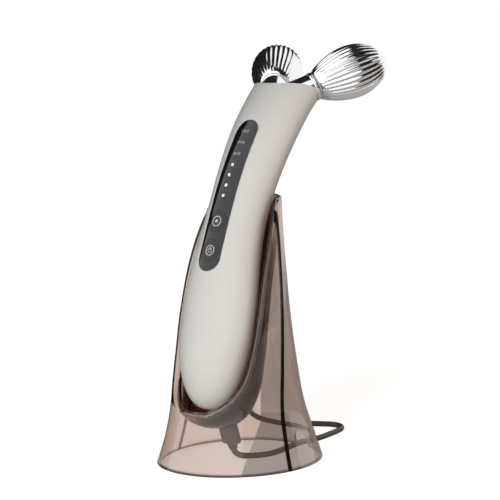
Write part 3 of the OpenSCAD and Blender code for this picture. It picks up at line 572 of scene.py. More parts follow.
def panel_block(depth, height):
    """Closed block over the panel, from depth below the surface to height above it."""
    block = bmesh.new()
    line = stadium(0)
    ring = bmesh.ops.create_circle(block, cap_ends=True, segments=len(line), radius=1)["verts"]
    order = sorted(ring, key=lambda v: v.index)
    for vert, (x, y) in zip(order, line):
        vert.co = on_panel(x, y, -depth)
    lift = bmesh.ops.extrude_face_region(block, geom=block.faces[:])
    top = [v for v in lift["geom"] if isinstance(v, bmesh.types.BMVert)]
    bmesh.ops.translate(block, verts=top, vec=panel_out * (height + depth) * MM)
    bmesh.ops.recalc_face_normals(block, faces=block.faces)
    return block


def half_shell(name, first, last, finish):
    """Half of the handle's wall between two angles, as a thick sheet up to the arch."""
    columns, rows, turns = 72, 70, 26
    dome = [DOME_LEN * (1 - math.cos(math.radians(90 * k / turns)) ** (2 / DOME_POWER))
            for k in range(1, turns + 1)]
    sheet = bmesh.new()
    bmesh.ops.create_grid(sheet, x_segments=columns, y_segments=len(dome) + rows, size=1)
    ends = {}
    for vert in sheet.verts:
        i = round((vert.co.x + 1) / 2 * columns)
        j = round((vert.co.y + 1) / 2 * (len(dome) + rows))
        angle = first + (last - first) * i / columns
        if i not in ends:
            ends[i] = arch_end(angle, ARCH_R)
        if j <= len(dome):
            s = dome[j - 1] if j else 0.02
        else:
            s = DOME_LEN + (ends[i] - DOME_LEN) * (j - len(dome)) / rows
        vert.co = grip_point(s, angle) * MM
    bmesh.ops.recalc_face_normals(sheet, faces=sheet.faces)
    face = max(sheet.faces, key=lambda f: f.calc_center_median().z)
    middle = Vector((0, *spine(200))) * MM
    if (face.calc_center_median() - middle).dot(face.normal) < 0:
        bmesh.ops.reverse_faces(sheet, faces=sheet.faces)
    made = piece(name, sheet, finish, "handle")
    wall = made.modifiers.new("wall", "SOLIDIFY")
    wall.thickness = SHELL_WALL * MM
    wall.offset = -1
    return bake_modifiers(made)


champagne = Finish("champagne_lacquer", (0.64, 0.63, 0.605), 0.45, Coat_Weight=0.03,
                   Coat_Roughness=0.3, Specular_IOR_Level=0.18)
mottle = champagne.noise(9, 2)
flake = champagne.noise(1800, 1)
champagne.set(
    Base_Color=champagne.mix(0.5 * mottle + 0.5 * flake, (0.62, 0.61, 0.583),
                             (0.66, 0.65, 0.625)),
    Roughness=0.38 + 0.06 * mottle + 0.05 * flake)
champagne.bump(champagne.noise(900, 2), 0.000012)

front = half_shell("grip_front", -89.9, 89.9, champagne)
rear = half_shell("grip_rear", 90.1, 269.9, champagne)
cut(front, tool(panel_block(1.4, 12)), *collar_holes(9.4, 14))
cut(rear, *collar_holes(9.4, 14))
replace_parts(front, "front_shell")
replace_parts(rear, "rear_shell")


# ROLLERS
# Two tulip-shaped rollers of chromed metal, each with thirty-two flutes that run together at
# its neck and its tip. They turn freely on their axles.
FLUTES = 32
ROLLER_LEN, ROLLER_R, NECK_R = 47.5, 16.3, 8.5
ROLLER_FROM = 29.4
WIDEST, FLUTE_DEPTH = 0.52, 0.82


def roller_radius(t):
    """Radius at the share t of a roller's length, which is widest at WIDEST."""
    if t < WIDEST:
        return NECK_R + (ROLLER_R - NECK_R) * math.sin(math.pi / 2 * t / WIDEST) ** 0.85
    return ROLLER_R * math.sqrt(max(0, 1 - ((t - WIDEST) / (1 - WIDEST)) ** 2))


def roller(name, side, finish):
    """A sphere drawn out to the tulip: its first rows are the flat neck end, and the rest are
    the fluted body."""
    around, along, flat = FLUTES * 10, 72, 6
    ball = bmesh.new()
    bmesh.ops.create_uvsphere(ball, u_segments=around, v_segments=along, radius=1)
    for vert in ball.verts:
        down = math.acos(max(-1, min(1, vert.co.z)))
        j = round(down / math.pi * along)
        row = along - j
        turn = math.atan2(vert.co.y, vert.co.x)
        if row < flat:
            t, r = 0.0, NECK_R * row / (flat - 1) * 0.96
        elif row == flat:
            t, r = 0.006, NECK_R
        else:
            t = math.sin(math.pi / 2 * (row - flat) / (along - flat)) ** 1.15
            r = roller_radius(t)
        depth = FLUTE_DEPTH * min(1, r / ROLLER_R) * min(1, max(0, (t - 0.02) / 0.12))
        r -= depth * (0.5 - 0.5 * math.cos(FLUTES * turn)) ** 0.8
        vert.co = Vector((r * math.cos(turn), r * math.sin(turn), t * ROLLER_LEN)) * MM
    bmesh.ops.transform(ball, matrix=at_roller(side, ROLLER_FROM), verts=ball.verts)
    bmesh.ops.recalc_face_normals(ball, faces=ball.faces)
    return piece(name, ball, finish, name.replace("fluted_", ""), smooth=180)


chrome = Finish("polished_chrome", (0.93, 0.935, 0.945), 0.06, Metallic=1.0)
haze = chrome.noise(120, 3)
chrome.set(Roughness=0.10 + 0.05 * haze,
           Base_Color=chrome.mix(haze, (0.88, 0.885, 0.90), (0.95, 0.955, 0.965)))
for name, side in (("left_roller", -1), ("right_roller", 1)):
    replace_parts(roller("fluted_" + name, side, chrome), name)


# HEAD CAP AND COLLARS
# A dark chromed cap closes the arch between the shells, inside their edge. Each axle leaves it
# through a polished collar with a groove round it.
def arch_cap(finish):
    """The opening of the arch filled with a grid, pulled down to the cap's thickness."""
    rows, columns = 64, 24
    top, thick, inset = 36.2, 4.2, 2.3
    grid = bmesh.new()
    bmesh.ops.create_grid(grid, x_segments=columns, y_segments=rows, size=1)
    for vert in grid.verts:
        i = round((vert.co.y + 1) / 2 * rows)
        angle = 180 * (1 - math.cos(math.pi * i / rows)) / 2
        edge = grip_point(arch_end(angle, top, inset), angle, inset)
        vert.co = Vector((vert.co.x * edge.x, edge.y, edge.z)) * MM
    bmesh.ops.remove_doubles(grid, verts=grid.verts, dist=0.00001)
    lift = bmesh.ops.extrude_face_region(grid, geom=grid.faces[:])
    under = [v for v in lift["geom"] if isinstance(v, bmesh.types.BMVert)]
    for vert in under:
        out = Vector((0, vert.co.y - ARCH.y * MM, vert.co.z - ARCH.z * MM))
        vert.co -= out.normalized() * thick * MM
    bmesh.ops.recalc_face_normals(grid, faces=grid.faces)
    made = piece("arch_cap", grid, finish, "handle")
    return cut(made, *collar_holes(9.5, COLLAR_FROM))


dark_chrome = Finish("dark_chrome", (0.30, 0.31, 0.32), 0.2, Metallic=1.0)
dark_chrome.set(Roughness=0.16 + 0.1 * dark_chrome.noise(150, 3))
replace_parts(arch_cap(dark_chrome), "head_cap")


def turned(name, outline, place, finish, body):
    """A turned part: its outline of (radius, height) spun once round the placed Z axis."""
    lathe = bmesh.new()
    verts = [lathe.verts.new(Vector((r, 0, h)) * MM) for r, h in outline]
    for a, b in zip(verts, verts[1:]):
        lathe.edges.new((a, b))
    bmesh.ops.spin(lathe, geom=lathe.verts[:] + lathe.edges[:], cent=(0, 0, 0),
                   axis=(0, 0, 1), angle=2 * math.pi, steps=96, use_merge=True)
    bmesh.ops.remove_doubles(lathe, verts=lathe.verts, dist=0.000005)
    bmesh.ops.transform(lathe, matrix=place, verts=lathe.verts)
    bmesh.ops.recalc_face_normals(lathe, faces=lathe.faces)
    return piece(name, lathe, finish, body)


for name, side in (("left", -1), ("right", 1)):
    ring = turned(name + "_neck_ring",
                  [(0, -14), (8.3, -14), (8.3, 0), (8.7, 0.15), (8.9, 0.4), (8.9, 1.0),
                   (8.6, 1.25), (8.6, 1.45), (8.9, 1.7), (8.9, 2.2), (8.7, 2.5), (8.4, 2.6),
                   (0, 2.6)],
                  at_roller(side, COLLAR_FROM), chrome, "handle")
    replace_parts(ring, name + "_collar")


# CONTROL PANEL
# A long black glass window lies flush in the front shell inside a thin pale metal rim. Two
# round buttons, four level dots and three mode marks share it. Outlines and discs on it are
# lists of rings, each with its size and its lift above the handle's surface.
def woven(columns, rows, place, merge=0.000004):
    """Grid whose point in column i and row j lies at place(i, j), with the points that fall
    together, at poles and seams, merged."""
    sheet = bmesh.new()
    bmesh.ops.create_grid(sheet, x_segments=columns, y_segments=rows, size=1)
    for vert in sheet.verts:
        i = round((vert.co.x + 1) / 2 * columns)
        j = round((vert.co.y + 1) / 2 * rows)
        vert.co = place(i, j)
    bmesh.ops.remove_doubles(sheet, verts=sheet.verts, dist=merge)
    bmesh.ops.recalc_face_normals(sheet, faces=sheet.faces)
    return sheet


def panel_ring(profile):
    """Closed band round the panel; profile lists (shrink, lift) of its section."""
    outlines = [stadium(shrink) for shrink, _ in profile]
    around = len(outlines[0])
    return woven(around, len(profile) - 1, lambda i, j: on_panel(
        *outlines[j][i % around], profile[j][1]))


def button_place(s):
    """Height on the panel of the place s along the centre line."""
    return (grip_point(s, 0) - panel_p).dot(panel_up)


MODE_AT, POWER_AT, BUTTON_R = 109.0, 92.0, 5.0
rim_metal = Finish("rim_metal", (0.72, 0.70, 0.67), 0.22, Metallic=0.6)
rim_metal.set(Roughness=0.18 + 0.1 * rim_metal.noise(700, 2))
rim = piece("panel_frame", panel_ring(
    [(0.02, -1.35), (0.02, -0.12), (0.06, 0.02), (0.16, 0.10), (0.32, 0.12), (0.5, 0.08),
     (0.6, -0.03), (0.62, -0.2), (0.62, -1.35), (0.3, -1.38), (0.02, -1.35)]),
    rim_metal, "handle")
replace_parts(rim, "panel_rim")

black_glass = Finish("black_glass", (0.010, 0.010, 0.011), 0.04, Coat_Weight=0.3)
wipe = black_glass.noise(35, 4)
black_glass.set(Roughness=0.03 + 0.035 * wipe)
glass_middle = PANEL_W / 2 - 0.005
glass_edge = [(0.66, -1.2), (0.66, -0.16), (0.72, -0.05), (0.86, -0.01)]
glass_top = [(1.1 + (glass_middle - 1.1) * (k / 9) ** 1.2, 0.0) for k in range(10)]
window = piece("glass_window", panel_ring(
    [(glass_middle, -1.35), (4, -1.35), (0.9, -1.33)] + glass_edge + glass_top),
    black_glass, "handle")
cut(window, *[tool(post(BUTTON_R + 0.12, -4, 4, Matrix.Translation(grip_point(s, 0) * MM)
                        @ Vector((0, 0, 1)).rotation_difference(panel_out).to_matrix().to_4x4()))
              for s in (MODE_AT, POWER_AT)])
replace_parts(window, "panel_window")


def panel_disc(y, rings, around=72):
    """Round patch on the panel about the height y; rings lists (radius, lift)."""
    return woven(around, len(rings) - 1, lambda i, j: on_panel(
        rings[j][0] * math.cos(2 * math.pi * i / around),
        y + rings[j][0] * math.sin(2 * math.pi * i / around), rings[j][1]))


button_glass = Finish("button_glass", (0.012, 0.012, 0.013), 0.05, Coat_Weight=0.3)
button_glass.set(Roughness=0.035 + 0.04 * button_glass.noise(60, 3))
for name, s in (("mode_button", MODE_AT), ("power_button", POWER_AT)):
    cap = piece(name + "_face", panel_disc(button_place(s), [
        (0, -2.4), (3.2, -2.4), (4.9, -2.38), (4.95, -2.2), (4.95, -0.14), (4.88, -0.04),
        (4.7, 0), (3.6, 0), (2.4, 0), (1.2, 0), (0, 0)]), button_glass, name)
    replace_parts(cap, name)


# Printed and lit marks: rings on the buttons, dots and mode marks, and a matte black circle
# round each button as painted shade of its groove, all proud of the glass by MARK_LIFT
MARK_LIFT = 0.02


def panel_stroke(x0, y0, x1, y1, width):
    """Flat bar with round ends from one point of the panel to another."""
    run, turn = math.hypot(x1 - x0, y1 - y0), math.atan2(y1 - y0, x1 - x0)
    end = width / (run + width)

    def place(i, j):
        t = i / 12
        past = max(0, abs(2 * t - 1) - (1 - end))
        along = -width / 2 + t * (run + width)
        across = (j / 2 - 0.5) * width * math.sqrt(max(0, 1 - past ** 2 / end ** 2))
        return on_panel(x0 + along * math.cos(turn) - across * math.sin(turn),
                        y0 + along * math.sin(turn) + across * math.cos(turn), MARK_LIFT)
    return woven(12, 2, place)


def join(*shapes):
    """One mesh out of several."""
    whole = bmesh.new()
    for shape in shapes:
        part = bpy.data.meshes.new("part")
        shape.to_mesh(part)
        shape.free()
        whole.from_mesh(part)
        bpy.data.meshes.remove(part)
    return whole


def outward(shape):
    """Turns each face to the outside of the handle."""
    for face in shape.faces:
        if face.normal.dot(panel_out) < 0:
            face.normal_flip()
    return shape


def panel_circle(y, inner, outer):
    return panel_disc(y, [(r, MARK_LIFT) for r in (inner, (inner + outer) / 2, outer)])


mark_paint = Finish("mark_paint", (0.48, 0.48, 0.48), 0.4)
mark_paint.set(Roughness=0.35 + 0.1 * mark_paint.noise(900), Emission_Color=(1, 1, 1),
               Emission_Strength=0.06)
dot_light = Finish("dot_light", (0.8, 0.8, 0.8), 0.3, Emission_Color=(1, 0.99, 0.97),
                   Emission_Strength=0.35)
dot_light.set(Roughness=0.28 + 0.1 * dot_light.noise(900))
# Matte black of the circle round each button: painted shade of the groove there
painted_groove_shade = Finish("painted_groove_shade", (0.002, 0.002, 0.002), 0.5, Specular_IOR_Level=0.1)
painted_groove_shade.set(Roughness=0.45 + 0.1 * painted_groove_shade.noise(900))

dots = join(*[panel_disc(button_place(s), [(0.95, MARK_LIFT), (0.7, 0.05), (0, 0.06)], 32)
              for s in (124, 130.2, 136.4, 142.6)])
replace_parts(piece("level_dots", outward(dots), dot_light, "handle"), "level_lights")

# Each mode mark is a row of three-line bars, from left to right
strokes = []
for s, row in ((149.5, ((-2.6, -1.6), (-1.2, 0.2), (0.7, 1.5), (2.0, 2.7))),
               (156.7, ((-2.7, -0.9), (-0.4, 0.6), (1.1, 2.7))),
               (163.9, ((-2.6, -1.9), (-1.4, 0.4), (0.9, 2.6)))):
    y = button_place(s)
    for left, right in row:
        for k in (-1, 0, 1):
            strokes.append(panel_stroke(left, y + 0.62 * k, right, y + 0.62 * k, 0.24))
marks = piece("mode_marks", outward(join(*strokes)), mark_paint, "handle")
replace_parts(marks, "mode_lights")

for name, s in (("mode_button", MODE_AT), ("power_button", POWER_AT)):
    y = button_place(s)
    piece(name + "_circle", outward(panel_circle(y, 6.35, 6.6)), painted_groove_shade,
          "handle")
    sign = [panel_circle(y, 2.65, 3.2)]
    if name == "power_button":
        sign += [panel_stroke(0, y + 0.2, 0, y + 1.7, 0.55), panel_circle(y, 1.15, 1.5)]
    else:
        sign += [panel_disc(y, [(1.05, MARK_LIFT), (0, 0.03)], 32)]
    piece(name + "_sign", outward(join(*sign)), mark_paint, name)


# STAND AND CRADLE
# One thick sheet of clear smoked plastic: the wall rises from the oval foot, rolls over at
# the rim of the front opening and becomes the cradle behind the handle. OVALS lists the
# outline's height, half width, half depth and shift to the back.
OVALS = [[0, 46.5, 55, 0], [15, 42.3, 49.5, -0.3], [35, 38, 43.5, -2.5], [60, 36.6, 38.3, -4.8],
         [90, 35.1, 32.6, -6.3], [120, 32.1, 27.8, -5], [145, 28, 23.3, -1.4],
         [160, 23.8, 22, 2.5]]
STAND_H, LIP_Z = 160.0, 35.5


def stand_oval(z):
    """Half width, half depth and shift of the stand's outline at a height."""
    i = max(k for k in range(len(OVALS) - 1) if OVALS[k][0] <= max(0, z))

    def slope(k, axis):
        a, b = OVALS[max(0, k - 1)], OVALS[min(len(OVALS) - 1, k + 1)]
        return (b[axis] - a[axis]) / (b[0] - a[0])
    a, b = OVALS[i], OVALS[i + 1]
    h = b[0] - a[0]
    t = (z - a[0]) / h
    return [a[k] * (2 * t ** 3 - 3 * t * t + 1) + slope(i, k) * h * (t ** 3 - 2 * t * t + t)
            + b[k] * (3 * t * t - 2 * t ** 3) + slope(i + 1, k) * h * (t ** 3 - t * t)
            for k in (1, 2, 3)]


def stand_point(angle, z):
    """Point of the stand's outside in millimetres: angle 0 is the front, 90 the right side."""
    half, deep, shift = stand_oval(z)
    return Vector((half * math.sin(math.radians(angle)),
                   STAND_Y + shift - deep * math.cos(math.radians(angle)), z))


def stand_normal(angle, z):
    across = stand_point(angle + 0.5, z) - stand_point(angle - 0.5, z)
    up = stand_point(angle, z + 0.5) - stand_point(angle, z - 0.5)
    return across.cross(up).normalized()


def curve(knots, t):
    """Smooth curve through knots, with t from 0 to 1 along all of them."""
    u = min(len(knots) - 1.000001, max(0, t * (len(knots) - 1)))
    i = int(u)
    f = u - i
    a, b = knots[i], knots[i + 1]
    m0 = (b - knots[max(0, i - 1)]) / 2
    m1 = (knots[min(len(knots) - 1, i + 2)] - a) / 2
    return (a * (2 * f ** 3 - 3 * f * f + 1) + m0 * (f ** 3 - 2 * f * f + f)
            + b * (3 * f * f - 2 * f ** 3) + m1 * (f ** 3 - f * f))


# The opening's edge, seen from the side as (y, z)
rim_knots = [Vector((y + STAND_Y, z)) for y, z in (
    (-44.6, LIP_Z), (-40.3, 39.6), (-34.6, 45.6), (-29.4, 55), (-25.4, 68), (-21.9, 83),
    (-18.2, 99), (-14, 116), (-8.2, 133), (-1.8, 148), (6, STAND_H))]


def rim_angle(t):
    """Angle and height of the opening's edge at the share t of its right side."""
    y, z = curve(rim_knots, t)
    half, deep, shift = stand_oval(z)
    return math.degrees(math.acos((STAND_Y + shift - y) / deep)), z


# The rim as a closed loop of (angle, height): lip, right side, top and left side, with its
# corners smoothed
LIP_COLS, SIDE_ROWS = 64, 84
rim_loop = []
lip_angle = rim_angle(0)[0]
top_angle = rim_angle(1)[0]
for i in range(LIP_COLS):
    rim_loop.append((lip_angle * (2 * i / LIP_COLS - 1), LIP_Z))
for i in range(SIDE_ROWS):
    rim_loop.append(rim_angle(i / SIDE_ROWS))
for i in range(LIP_COLS):
    rim_loop.append((top_angle + (360 - 2 * top_angle) * i / LIP_COLS, STAND_H))
for i in range(SIDE_ROWS):
    angle, z = rim_angle(1 - i / SIDE_ROWS)
    rim_loop.append((360 - angle, z))
LOOP = len(rim_loop)
for _ in range(10):
    before = [rim_loop[k - 1] for k in range(LOOP)]
    after = [rim_loop[(k + 1) % LOOP] for k in range(LOOP)]
    rim_loop = [
        (p[0] + 0.25 * (((a[0] - p[0] + 180) % 360 - 180) + ((b[0] - p[0] + 180) % 360 - 180)),
         p[1] + 0.25 * (a[1] + b[1] - 2 * p[1]))
        for a, p, b in zip(before, rim_loop, after)]

# At each place of the loop the sheet rolls over in a half circle from the outside to the
# inside: (angle and height where the roll begins, its points)
fold_steps = 10
fold, rolls = [], []
for k in range(LOOP):
    here = stand_point(*rim_loop[k])
    run = stand_point(*rim_loop[(k + 1) % LOOP]) - stand_point(*rim_loop[k - 1])
    out = stand_normal(*rim_loop[k])
    up = out.cross(run).normalized()
    roll = 1.9 + 1.1 * ease((142 - here.z) / 50)
    down = here - up * roll
    z = down.z
    half, deep, shift = stand_oval(z)
    angle = math.degrees(math.atan2(down.x / half, -(down.y - STAND_Y - shift) / deep)) % 360
    start = stand_point(angle, z)
    out = stand_normal(angle, z)
    centre = start - out * roll
    rolls.append((centre, roll))
    arc = [centre + roll * (out * math.cos(math.pi * i / fold_steps)
                              + up * math.sin(math.pi * i / fold_steps))
           for i in range(fold_steps + 1)]
    fold.append((angle, z, arc))

# The cradle's middle line, seen from the side, as in the part's source
BOWL_Y, CRADLE_Z = STAND_Y - 19, 22.0
bowl_back = Vector((STAND_Y - 1.5, 51))
BOWL_SHARE, CRADLE_WALL, CRADLE_GAP = 0.45, 1.6, 1.2


def back_point(u):
    """Point of the line behind the handle, at the share u of the way up the cradle."""
    s = 26 + (139.5 - 26) * u
    p = grip_point(s, 180, -CRADLE_GAP - CRADLE_WALL - 2.4 * (1 - u) ** 3)
    return Vector((p.y, p.z))


def inside_x(p, inset):
    """Half width of the stand at (y, z), less the inset."""
    half, deep, shift = stand_oval(p[1])
    return (half - inset) * math.sqrt(max(0, 1 - ((p[0] - STAND_Y - shift)
                                                  / (deep - inset)) ** 2))


def cradle_line(t):
    """The middle line at the share t: round the bowl, then up behind the handle."""
    if t < BOWL_SHARE:
        a = math.pi * t / BOWL_SHARE
        low = (LIP_Z if a < math.pi / 2 else bowl_back[1]) - CRADLE_Z
        reach = BOWL_Y - rim_knots[0][0] if a < math.pi / 2 else bowl_back[0] - BOWL_Y
        return Vector((BOWL_Y - reach * math.cos(a), CRADLE_Z + low * (1 - math.sin(a))))
    half, deep, shift = stand_oval(STAND_H)
    end = Vector((min(back_point(1)[0], STAND_Y + shift + deep - 2), STAND_H))
    return curve([bowl_back] + [back_point(u) for u in (0.12, 0.34, 0.56, 0.78)] + [end],
                 (t - BOWL_SHARE) / (1 - BOWL_SHARE))


def loop_index(i, j):
    """Place on the rim loop of a grid point of the cradle, or None inside it."""
    if j == 0:
        return i
    if i == LIP_COLS:
        return LIP_COLS + j
    if j == SIDE_ROWS:
        return LIP_COLS + SIDE_ROWS + (LIP_COLS - i)
    if i == 0:
        return (LOOP - j) % LOOP
    return None


def cradle_point(i, j):
    """Point of the cradle: on the rim where the grid ends, and between the two sides of the
    rim on a squared arch to the middle line elsewhere."""
    edge = loop_index(i, j)
    if edge is not None:
        return fold[edge][2][-1]
    t = j / SIDE_ROWS
    right = fold[LIP_COLS + j][2][-1]
    r = Vector((right.y, right.z))
    line = cradle_line(t)
    reach = (line - r).length
    back = r + (line - r) * max(0.15, 1 - CRADLE_WALL / max(reach, 0.01))
    for low, high, at in ((0.07, 0, fold[LIP_COLS // 2][2][-1]),
                          (0.93, 1, fold[LIP_COLS + SIDE_ROWS + LIP_COLS // 2][2][-1])):
        share = ease((t - low) / (high - low))
        back = back + (Vector((at.y, at.z)) - back) * share
    power = 1.6 + 0.9 * min(1, 2.5 * t)
    a = math.radians(90 + 180 * (LIP_COLS - i) / LIP_COLS)
    w, v = abs(math.cos(a)) ** (2 / power), abs(math.sin(a)) ** (2 / power)
    p = r + (back - r) * w
    half, deep, shift = stand_oval(p[1])
    p[0] = min(p[0], STAND_Y + shift + deep - 3.7)
    x = min(right.x * v, inside_x(p, 3.6))
    return Vector((math.copysign(x, math.sin(a)), p[0], p[1]))


def smoked_sheet():
    """Cradle, rolled rim and outer wall, sewn together along the rim."""
    cradle = woven(LIP_COLS, SIDE_ROWS, lambda i, j: cradle_point(i, j) * MM, 0.0)
    inner = [v for v in cradle.verts if not v.is_boundary]
    for _ in range(6):
        bmesh.ops.smooth_vert(cradle, verts=inner, factor=0.5, use_axis_x=True,
                              use_axis_y=True, use_axis_z=True)
    rows = 30

    def wall_point(i, j):
        angle, z, arc = fold[i % LOOP]
        if j <= fold_steps:
            return arc[fold_steps - j] * MM
        t = 1 - (1 - (j - fold_steps) / rows) ** 1.4
        foot = 360 * (i % LOOP - LIP_COLS / 2) / LOOP
        turn = (foot - angle + 180) % 360 - 180
        return stand_point(angle + turn * ease(t), z * (1 - t)) * MM
    sheet = join(cradle, woven(LOOP, fold_steps + rows, wall_point, 0.0))
    bmesh.ops.remove_doubles(sheet, verts=sheet.verts, dist=0.00001)
    bmesh.ops.recalc_face_normals(sheet, faces=sheet.faces)
    return sheet


smoke = Finish("smoked_plastic", (1, 1, 1), 0.02, IOR=1.49, Transmission_Weight=1.0)
# The base colour turns a dark brown where the sheet's map says: painted shade in the cradle and
# a painted contact shadow at the ground edge
sheet_map = smoke.node("ShaderNodeTexCoord", {}, out="UV")
painted_shade_share = smoke.node("ShaderNodeSeparateXYZ", {}, sheet_map)
smoke.set(Roughness=0.012 + 0.02 * smoke.noise(40, 3),
          Base_Color=smoke.mix(painted_shade_share, (1, 1, 1), (0.06, 0.022, 0.013)))
# The plastic takes light away by its thickness, and its shadow stays clear
tint = smoke.node("ShaderNodeVolumeAbsorption", {}, Color=(0.45, 0.19, 0.05), Density=265.0)
smoke.tree.links.new(tint.socket, smoke.output.inputs["Volume"])
rays = smoke.node("ShaderNodeLightPath", {}, out="Is Shadow Ray")
clear = smoke.node("ShaderNodeBsdfTransparent", {})
through = smoke.tree.nodes.new("ShaderNodeMixShader")
smoke.tree.links.new(rays.socket, through.inputs[0])
smoke.tree.links.new(smoke.shader.outputs[0], through.inputs[1])
smoke.tree.links.new(clear.socket, through.inputs[2])
smoke.tree.links.new(through.outputs[0], smoke.output.inputs["Surface"])

PORT = Vector((0, -36, 38.1))
PLUG_LEAN = 20.0


def at_port(down=0.0):
    """Place on the plug's line under the handle, with its Z axis down along the plug."""
    turn = math.radians(PLUG_LEAN)
    way = Vector((0, math.sin(turn), -math.cos(turn)))
    side = Vector((1, 0, 0))
    frame_axes = Matrix((side, way.cross(side), way)).transposed().to_4x4()
    return Matrix.Translation((PORT + way * down) * MM) @ frame_axes


def slot_body(rows, width, depth, place):
    """Body with a stadium-shaped section; rows lists (height, scale)."""
    radius, around = min(width, depth) / 2, 64

    def spot(i, j):
        turn = 2 * math.pi * ((i % around) + 0.5) / around
        x = math.copysign(width / 2 - radius, math.cos(turn)) + radius * math.cos(turn)
        y = math.copysign(depth / 2 - radius, math.sin(turn)) + radius * math.sin(turn)
        height, scale = rows[j]
        shrink = (1 - scale) * radius
        if scale == 0:
            return place @ (Vector((0, 0, height)) * MM)
        return place @ (Vector((x * (1 - 2 * shrink / width), y * (1 - 2 * shrink / depth),
                                height)) * MM)
    return woven(around, len(rows) - 1, spot)


stand = piece("smoked_stand", smoked_sheet(), smoke, "stand")
wall = stand.modifiers.new("wall", "SOLIDIFY")
wall.thickness = 1.7 * MM
wall.offset = -1
bake_modifiers(stand)
# The notch for the lead in the foot, and the hole for the plug in the cradle's floor
notch = slot_body([(0, 0), (0, 1), (14, 1), (14, 0)], 12, 20,
                  Matrix.Translation(mm(7.5, STAND_Y + 47, 0))
                  @ Matrix.Rotation(math.radians(-90), 4, "X"))
port_hole = slot_body([(0, 0), (0, 1), (30, 1), (30, 0)], 13.3, 7.1, at_port(2.2))
cut(stand, tool(notch), tool(port_hole))
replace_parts(stand, "stand_front", "stand_rear", "cradle")

# The sheet's own map says how much painted shade, a dark brown, it takes: 1 in the cradle, as
# painted shade, and at the ground edge, as a painted contact shadow, less on the rolled rim, and
# 0 elsewhere
near_roll = KDTree(LOOP)
for k, (centre, roll) in enumerate(rolls):
    near_roll.insert(centre, k)
near_roll.balance()
painted_shade_shares = []
for vert in stand.data.vertices:
    vert.co.z = max(0, vert.co.z)
    x, y, z = spot = vert.co / MM
    half, deep, shift = stand_oval(z)
    _, k, distance = near_roll.find(spot)
    rim_part = ease((rolls[k][1] + 0.8 - distance) / 0.8)
    cradle_part = ease((0.90 - math.hypot(x / half, (y - STAND_Y - shift) / deep)) / 0.08)
    painted_shade_shares.append(max(ease(1.6 - z), cradle_part * (1 - 0.6 * rim_part)))
painted_shade_map = stand.data.uv_layers.new(name="depth")
for loop in stand.data.loops:
    painted_shade_map.data[loop.index].uv = (painted_shade_shares[loop.vertex_index], 0)

# Joints along both sides, where the front and the rear mouldings are bonded: the right one is
# nearly black, and light comes through the left one
SEAM_FOOT_Y, SEAM_LEAN, SEAM_ROWS = STAND_Y - 8.2, 3.6, 60
SEAM_LOW, SEAM_HIGH = 0.02, 150.5


def seam_point(side, i, j):
    """Point of a strip through the wall: column i goes round its section, row j up it, and the
    first and last rows close its ends."""
    rows = SEAM_ROWS
    z = SEAM_LOW + (SEAM_HIGH - SEAM_LOW) * min(rows - 1, max(1, j) - 1) / (rows - 2)
    wide, proud = [(-1.1, 0.05), (0, 0.06), (1.1, 0.05), (1.1, -0.85), (1.1, -1.75),
                   (0, -1.76), (-1.1, -1.75), (-1.1, -0.85)][i % 8]
    if j in (0, rows):
        wide, proud = 0, -0.85
    y = SEAM_FOOT_Y + z * math.tan(math.radians(SEAM_LEAN)) + wide
    half, deep, shift = stand_oval(z)
    angle = math.degrees(math.acos((STAND_Y + shift - y) / deep))
    return (stand_point(side * angle, z) + stand_normal(side * angle, z) * proud) * MM


seam_black = Finish("seam_black", (0.004, 0.003, 0.003), 0.5, Specular_IOR_Level=0.1)
seam_black.set(Roughness=0.45 + 0.15 * seam_black.noise(300))
seam_brown = Finish("seam_brown", (0.30, 0.24, 0.21), 0.2, Transmission_Weight=0.9)
seam_brown.set(Roughness=0.15 + 0.1 * seam_brown.noise(300))
for name, side, finish in (("right_seam", 1, seam_black), ("left_seam", -1, seam_brown)):
    strip = woven(8, SEAM_ROWS, lambda i, j: seam_point(side, i, j))
    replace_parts(piece(name, strip, finish, "stand"), "seam_strips")


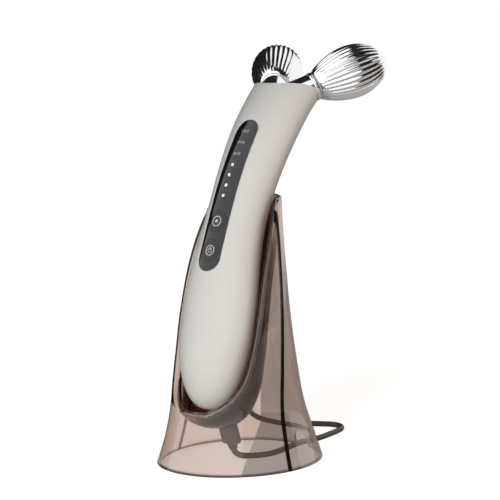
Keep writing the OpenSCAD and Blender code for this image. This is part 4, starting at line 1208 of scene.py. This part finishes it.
# CHARGING PLUG
# A small moulded plug stands in the cradle's floor with its metal tip in the handle's foot.
# Its grip has two shallow grooves, and a ribbed sleeve guards the lead below it.
plug_rubber = jacket_finish("plug_rubber", (0.115, 0.09, 0.08))
grip = slot_body([(0, 0), (0, 0.8), (0.3, 0.93), (0.9, 1), (8, 1), (8.2, 0.92), (9.2, 0.92),
                  (9.4, 1), (12, 1), (12.2, 0.92), (13.2, 0.92), (13.4, 1), (25.4, 1),
                  (26.2, 0.93), (26.5, 0.8), (26.5, 0)], 13.2, 7, at_port(2.2))
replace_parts(piece("plug_grip", grip, plug_rubber, "stand"), "charging_plug")
sleeve = turned("lead_sleeve", [(0, 0), (3.3, 0), (3.3, 0.5), (2.75, 0.7), (2.75, 1.1),
                                (3.1, 1.3), (3.0, 1.8), (2.5, 2.0), (2.5, 2.4), (2.85, 2.6),
                                (2.75, 3.1), (2.35, 3.3), (2.35, 3.7), (2.55, 3.9),
                                (2.4, 4.5), (0, 4.5)],
                at_port(28.7), plug_rubber, "stand")
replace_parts(sleeve, "strain_relief")


# REMAINING PARTS
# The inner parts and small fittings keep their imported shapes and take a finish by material.
def plain(name, colour, rough, scale, **more):
    """A finish whose colour and polish vary a little in soft clouds."""
    f = Finish(name, colour, rough, **more)
    cloud = f.noise(scale, 3)
    f.set(Base_Color=f.mix(cloud, [c * 0.9 for c in colour], [c * 1.1 for c in colour]),
          Roughness=rough * 0.85 + rough * 0.3 * cloud)
    return f


finishes = {
    "steel": plain("bright_steel", (0.62, 0.62, 0.61), 0.22, 400, Metallic=1.0),
    "brass": plain("brass", (0.72, 0.53, 0.26), 0.28, 400, Metallic=1.0),
    "inner_plastic": plain("inner_plastic", (0.055, 0.055, 0.06), 0.5, 250),
    "core_plastic": plain("core_plastic", (0.35, 0.35, 0.34), 0.45, 250),
    "board": plain("board_green", (0.015, 0.11, 0.05), 0.4, 300),
    "cell": plain("cell_wrap", (0.05, 0.18, 0.34), 0.35, 200),
    "light": plain("light_guide", (0.75, 0.76, 0.78), 0.25, 300),
    "tie": plain("tie_strap", (0.015, 0.015, 0.015), 0.6, 500),
    "plug_grip": plug_rubber,
    "cable": jacket,
    "chrome": chrome,
}
for subpart in frame["record"]["subparts"]:
    kept = frame["nodes"][subpart["node"]]
    kept.data.materials.clear()
    kept.data.materials.append(finishes.get(subpart["material_slot"], champagne).material)

# Enough steps for the clear sheet's shadow, which crosses several walls
scene.cycles.transparent_max_bounces = 24
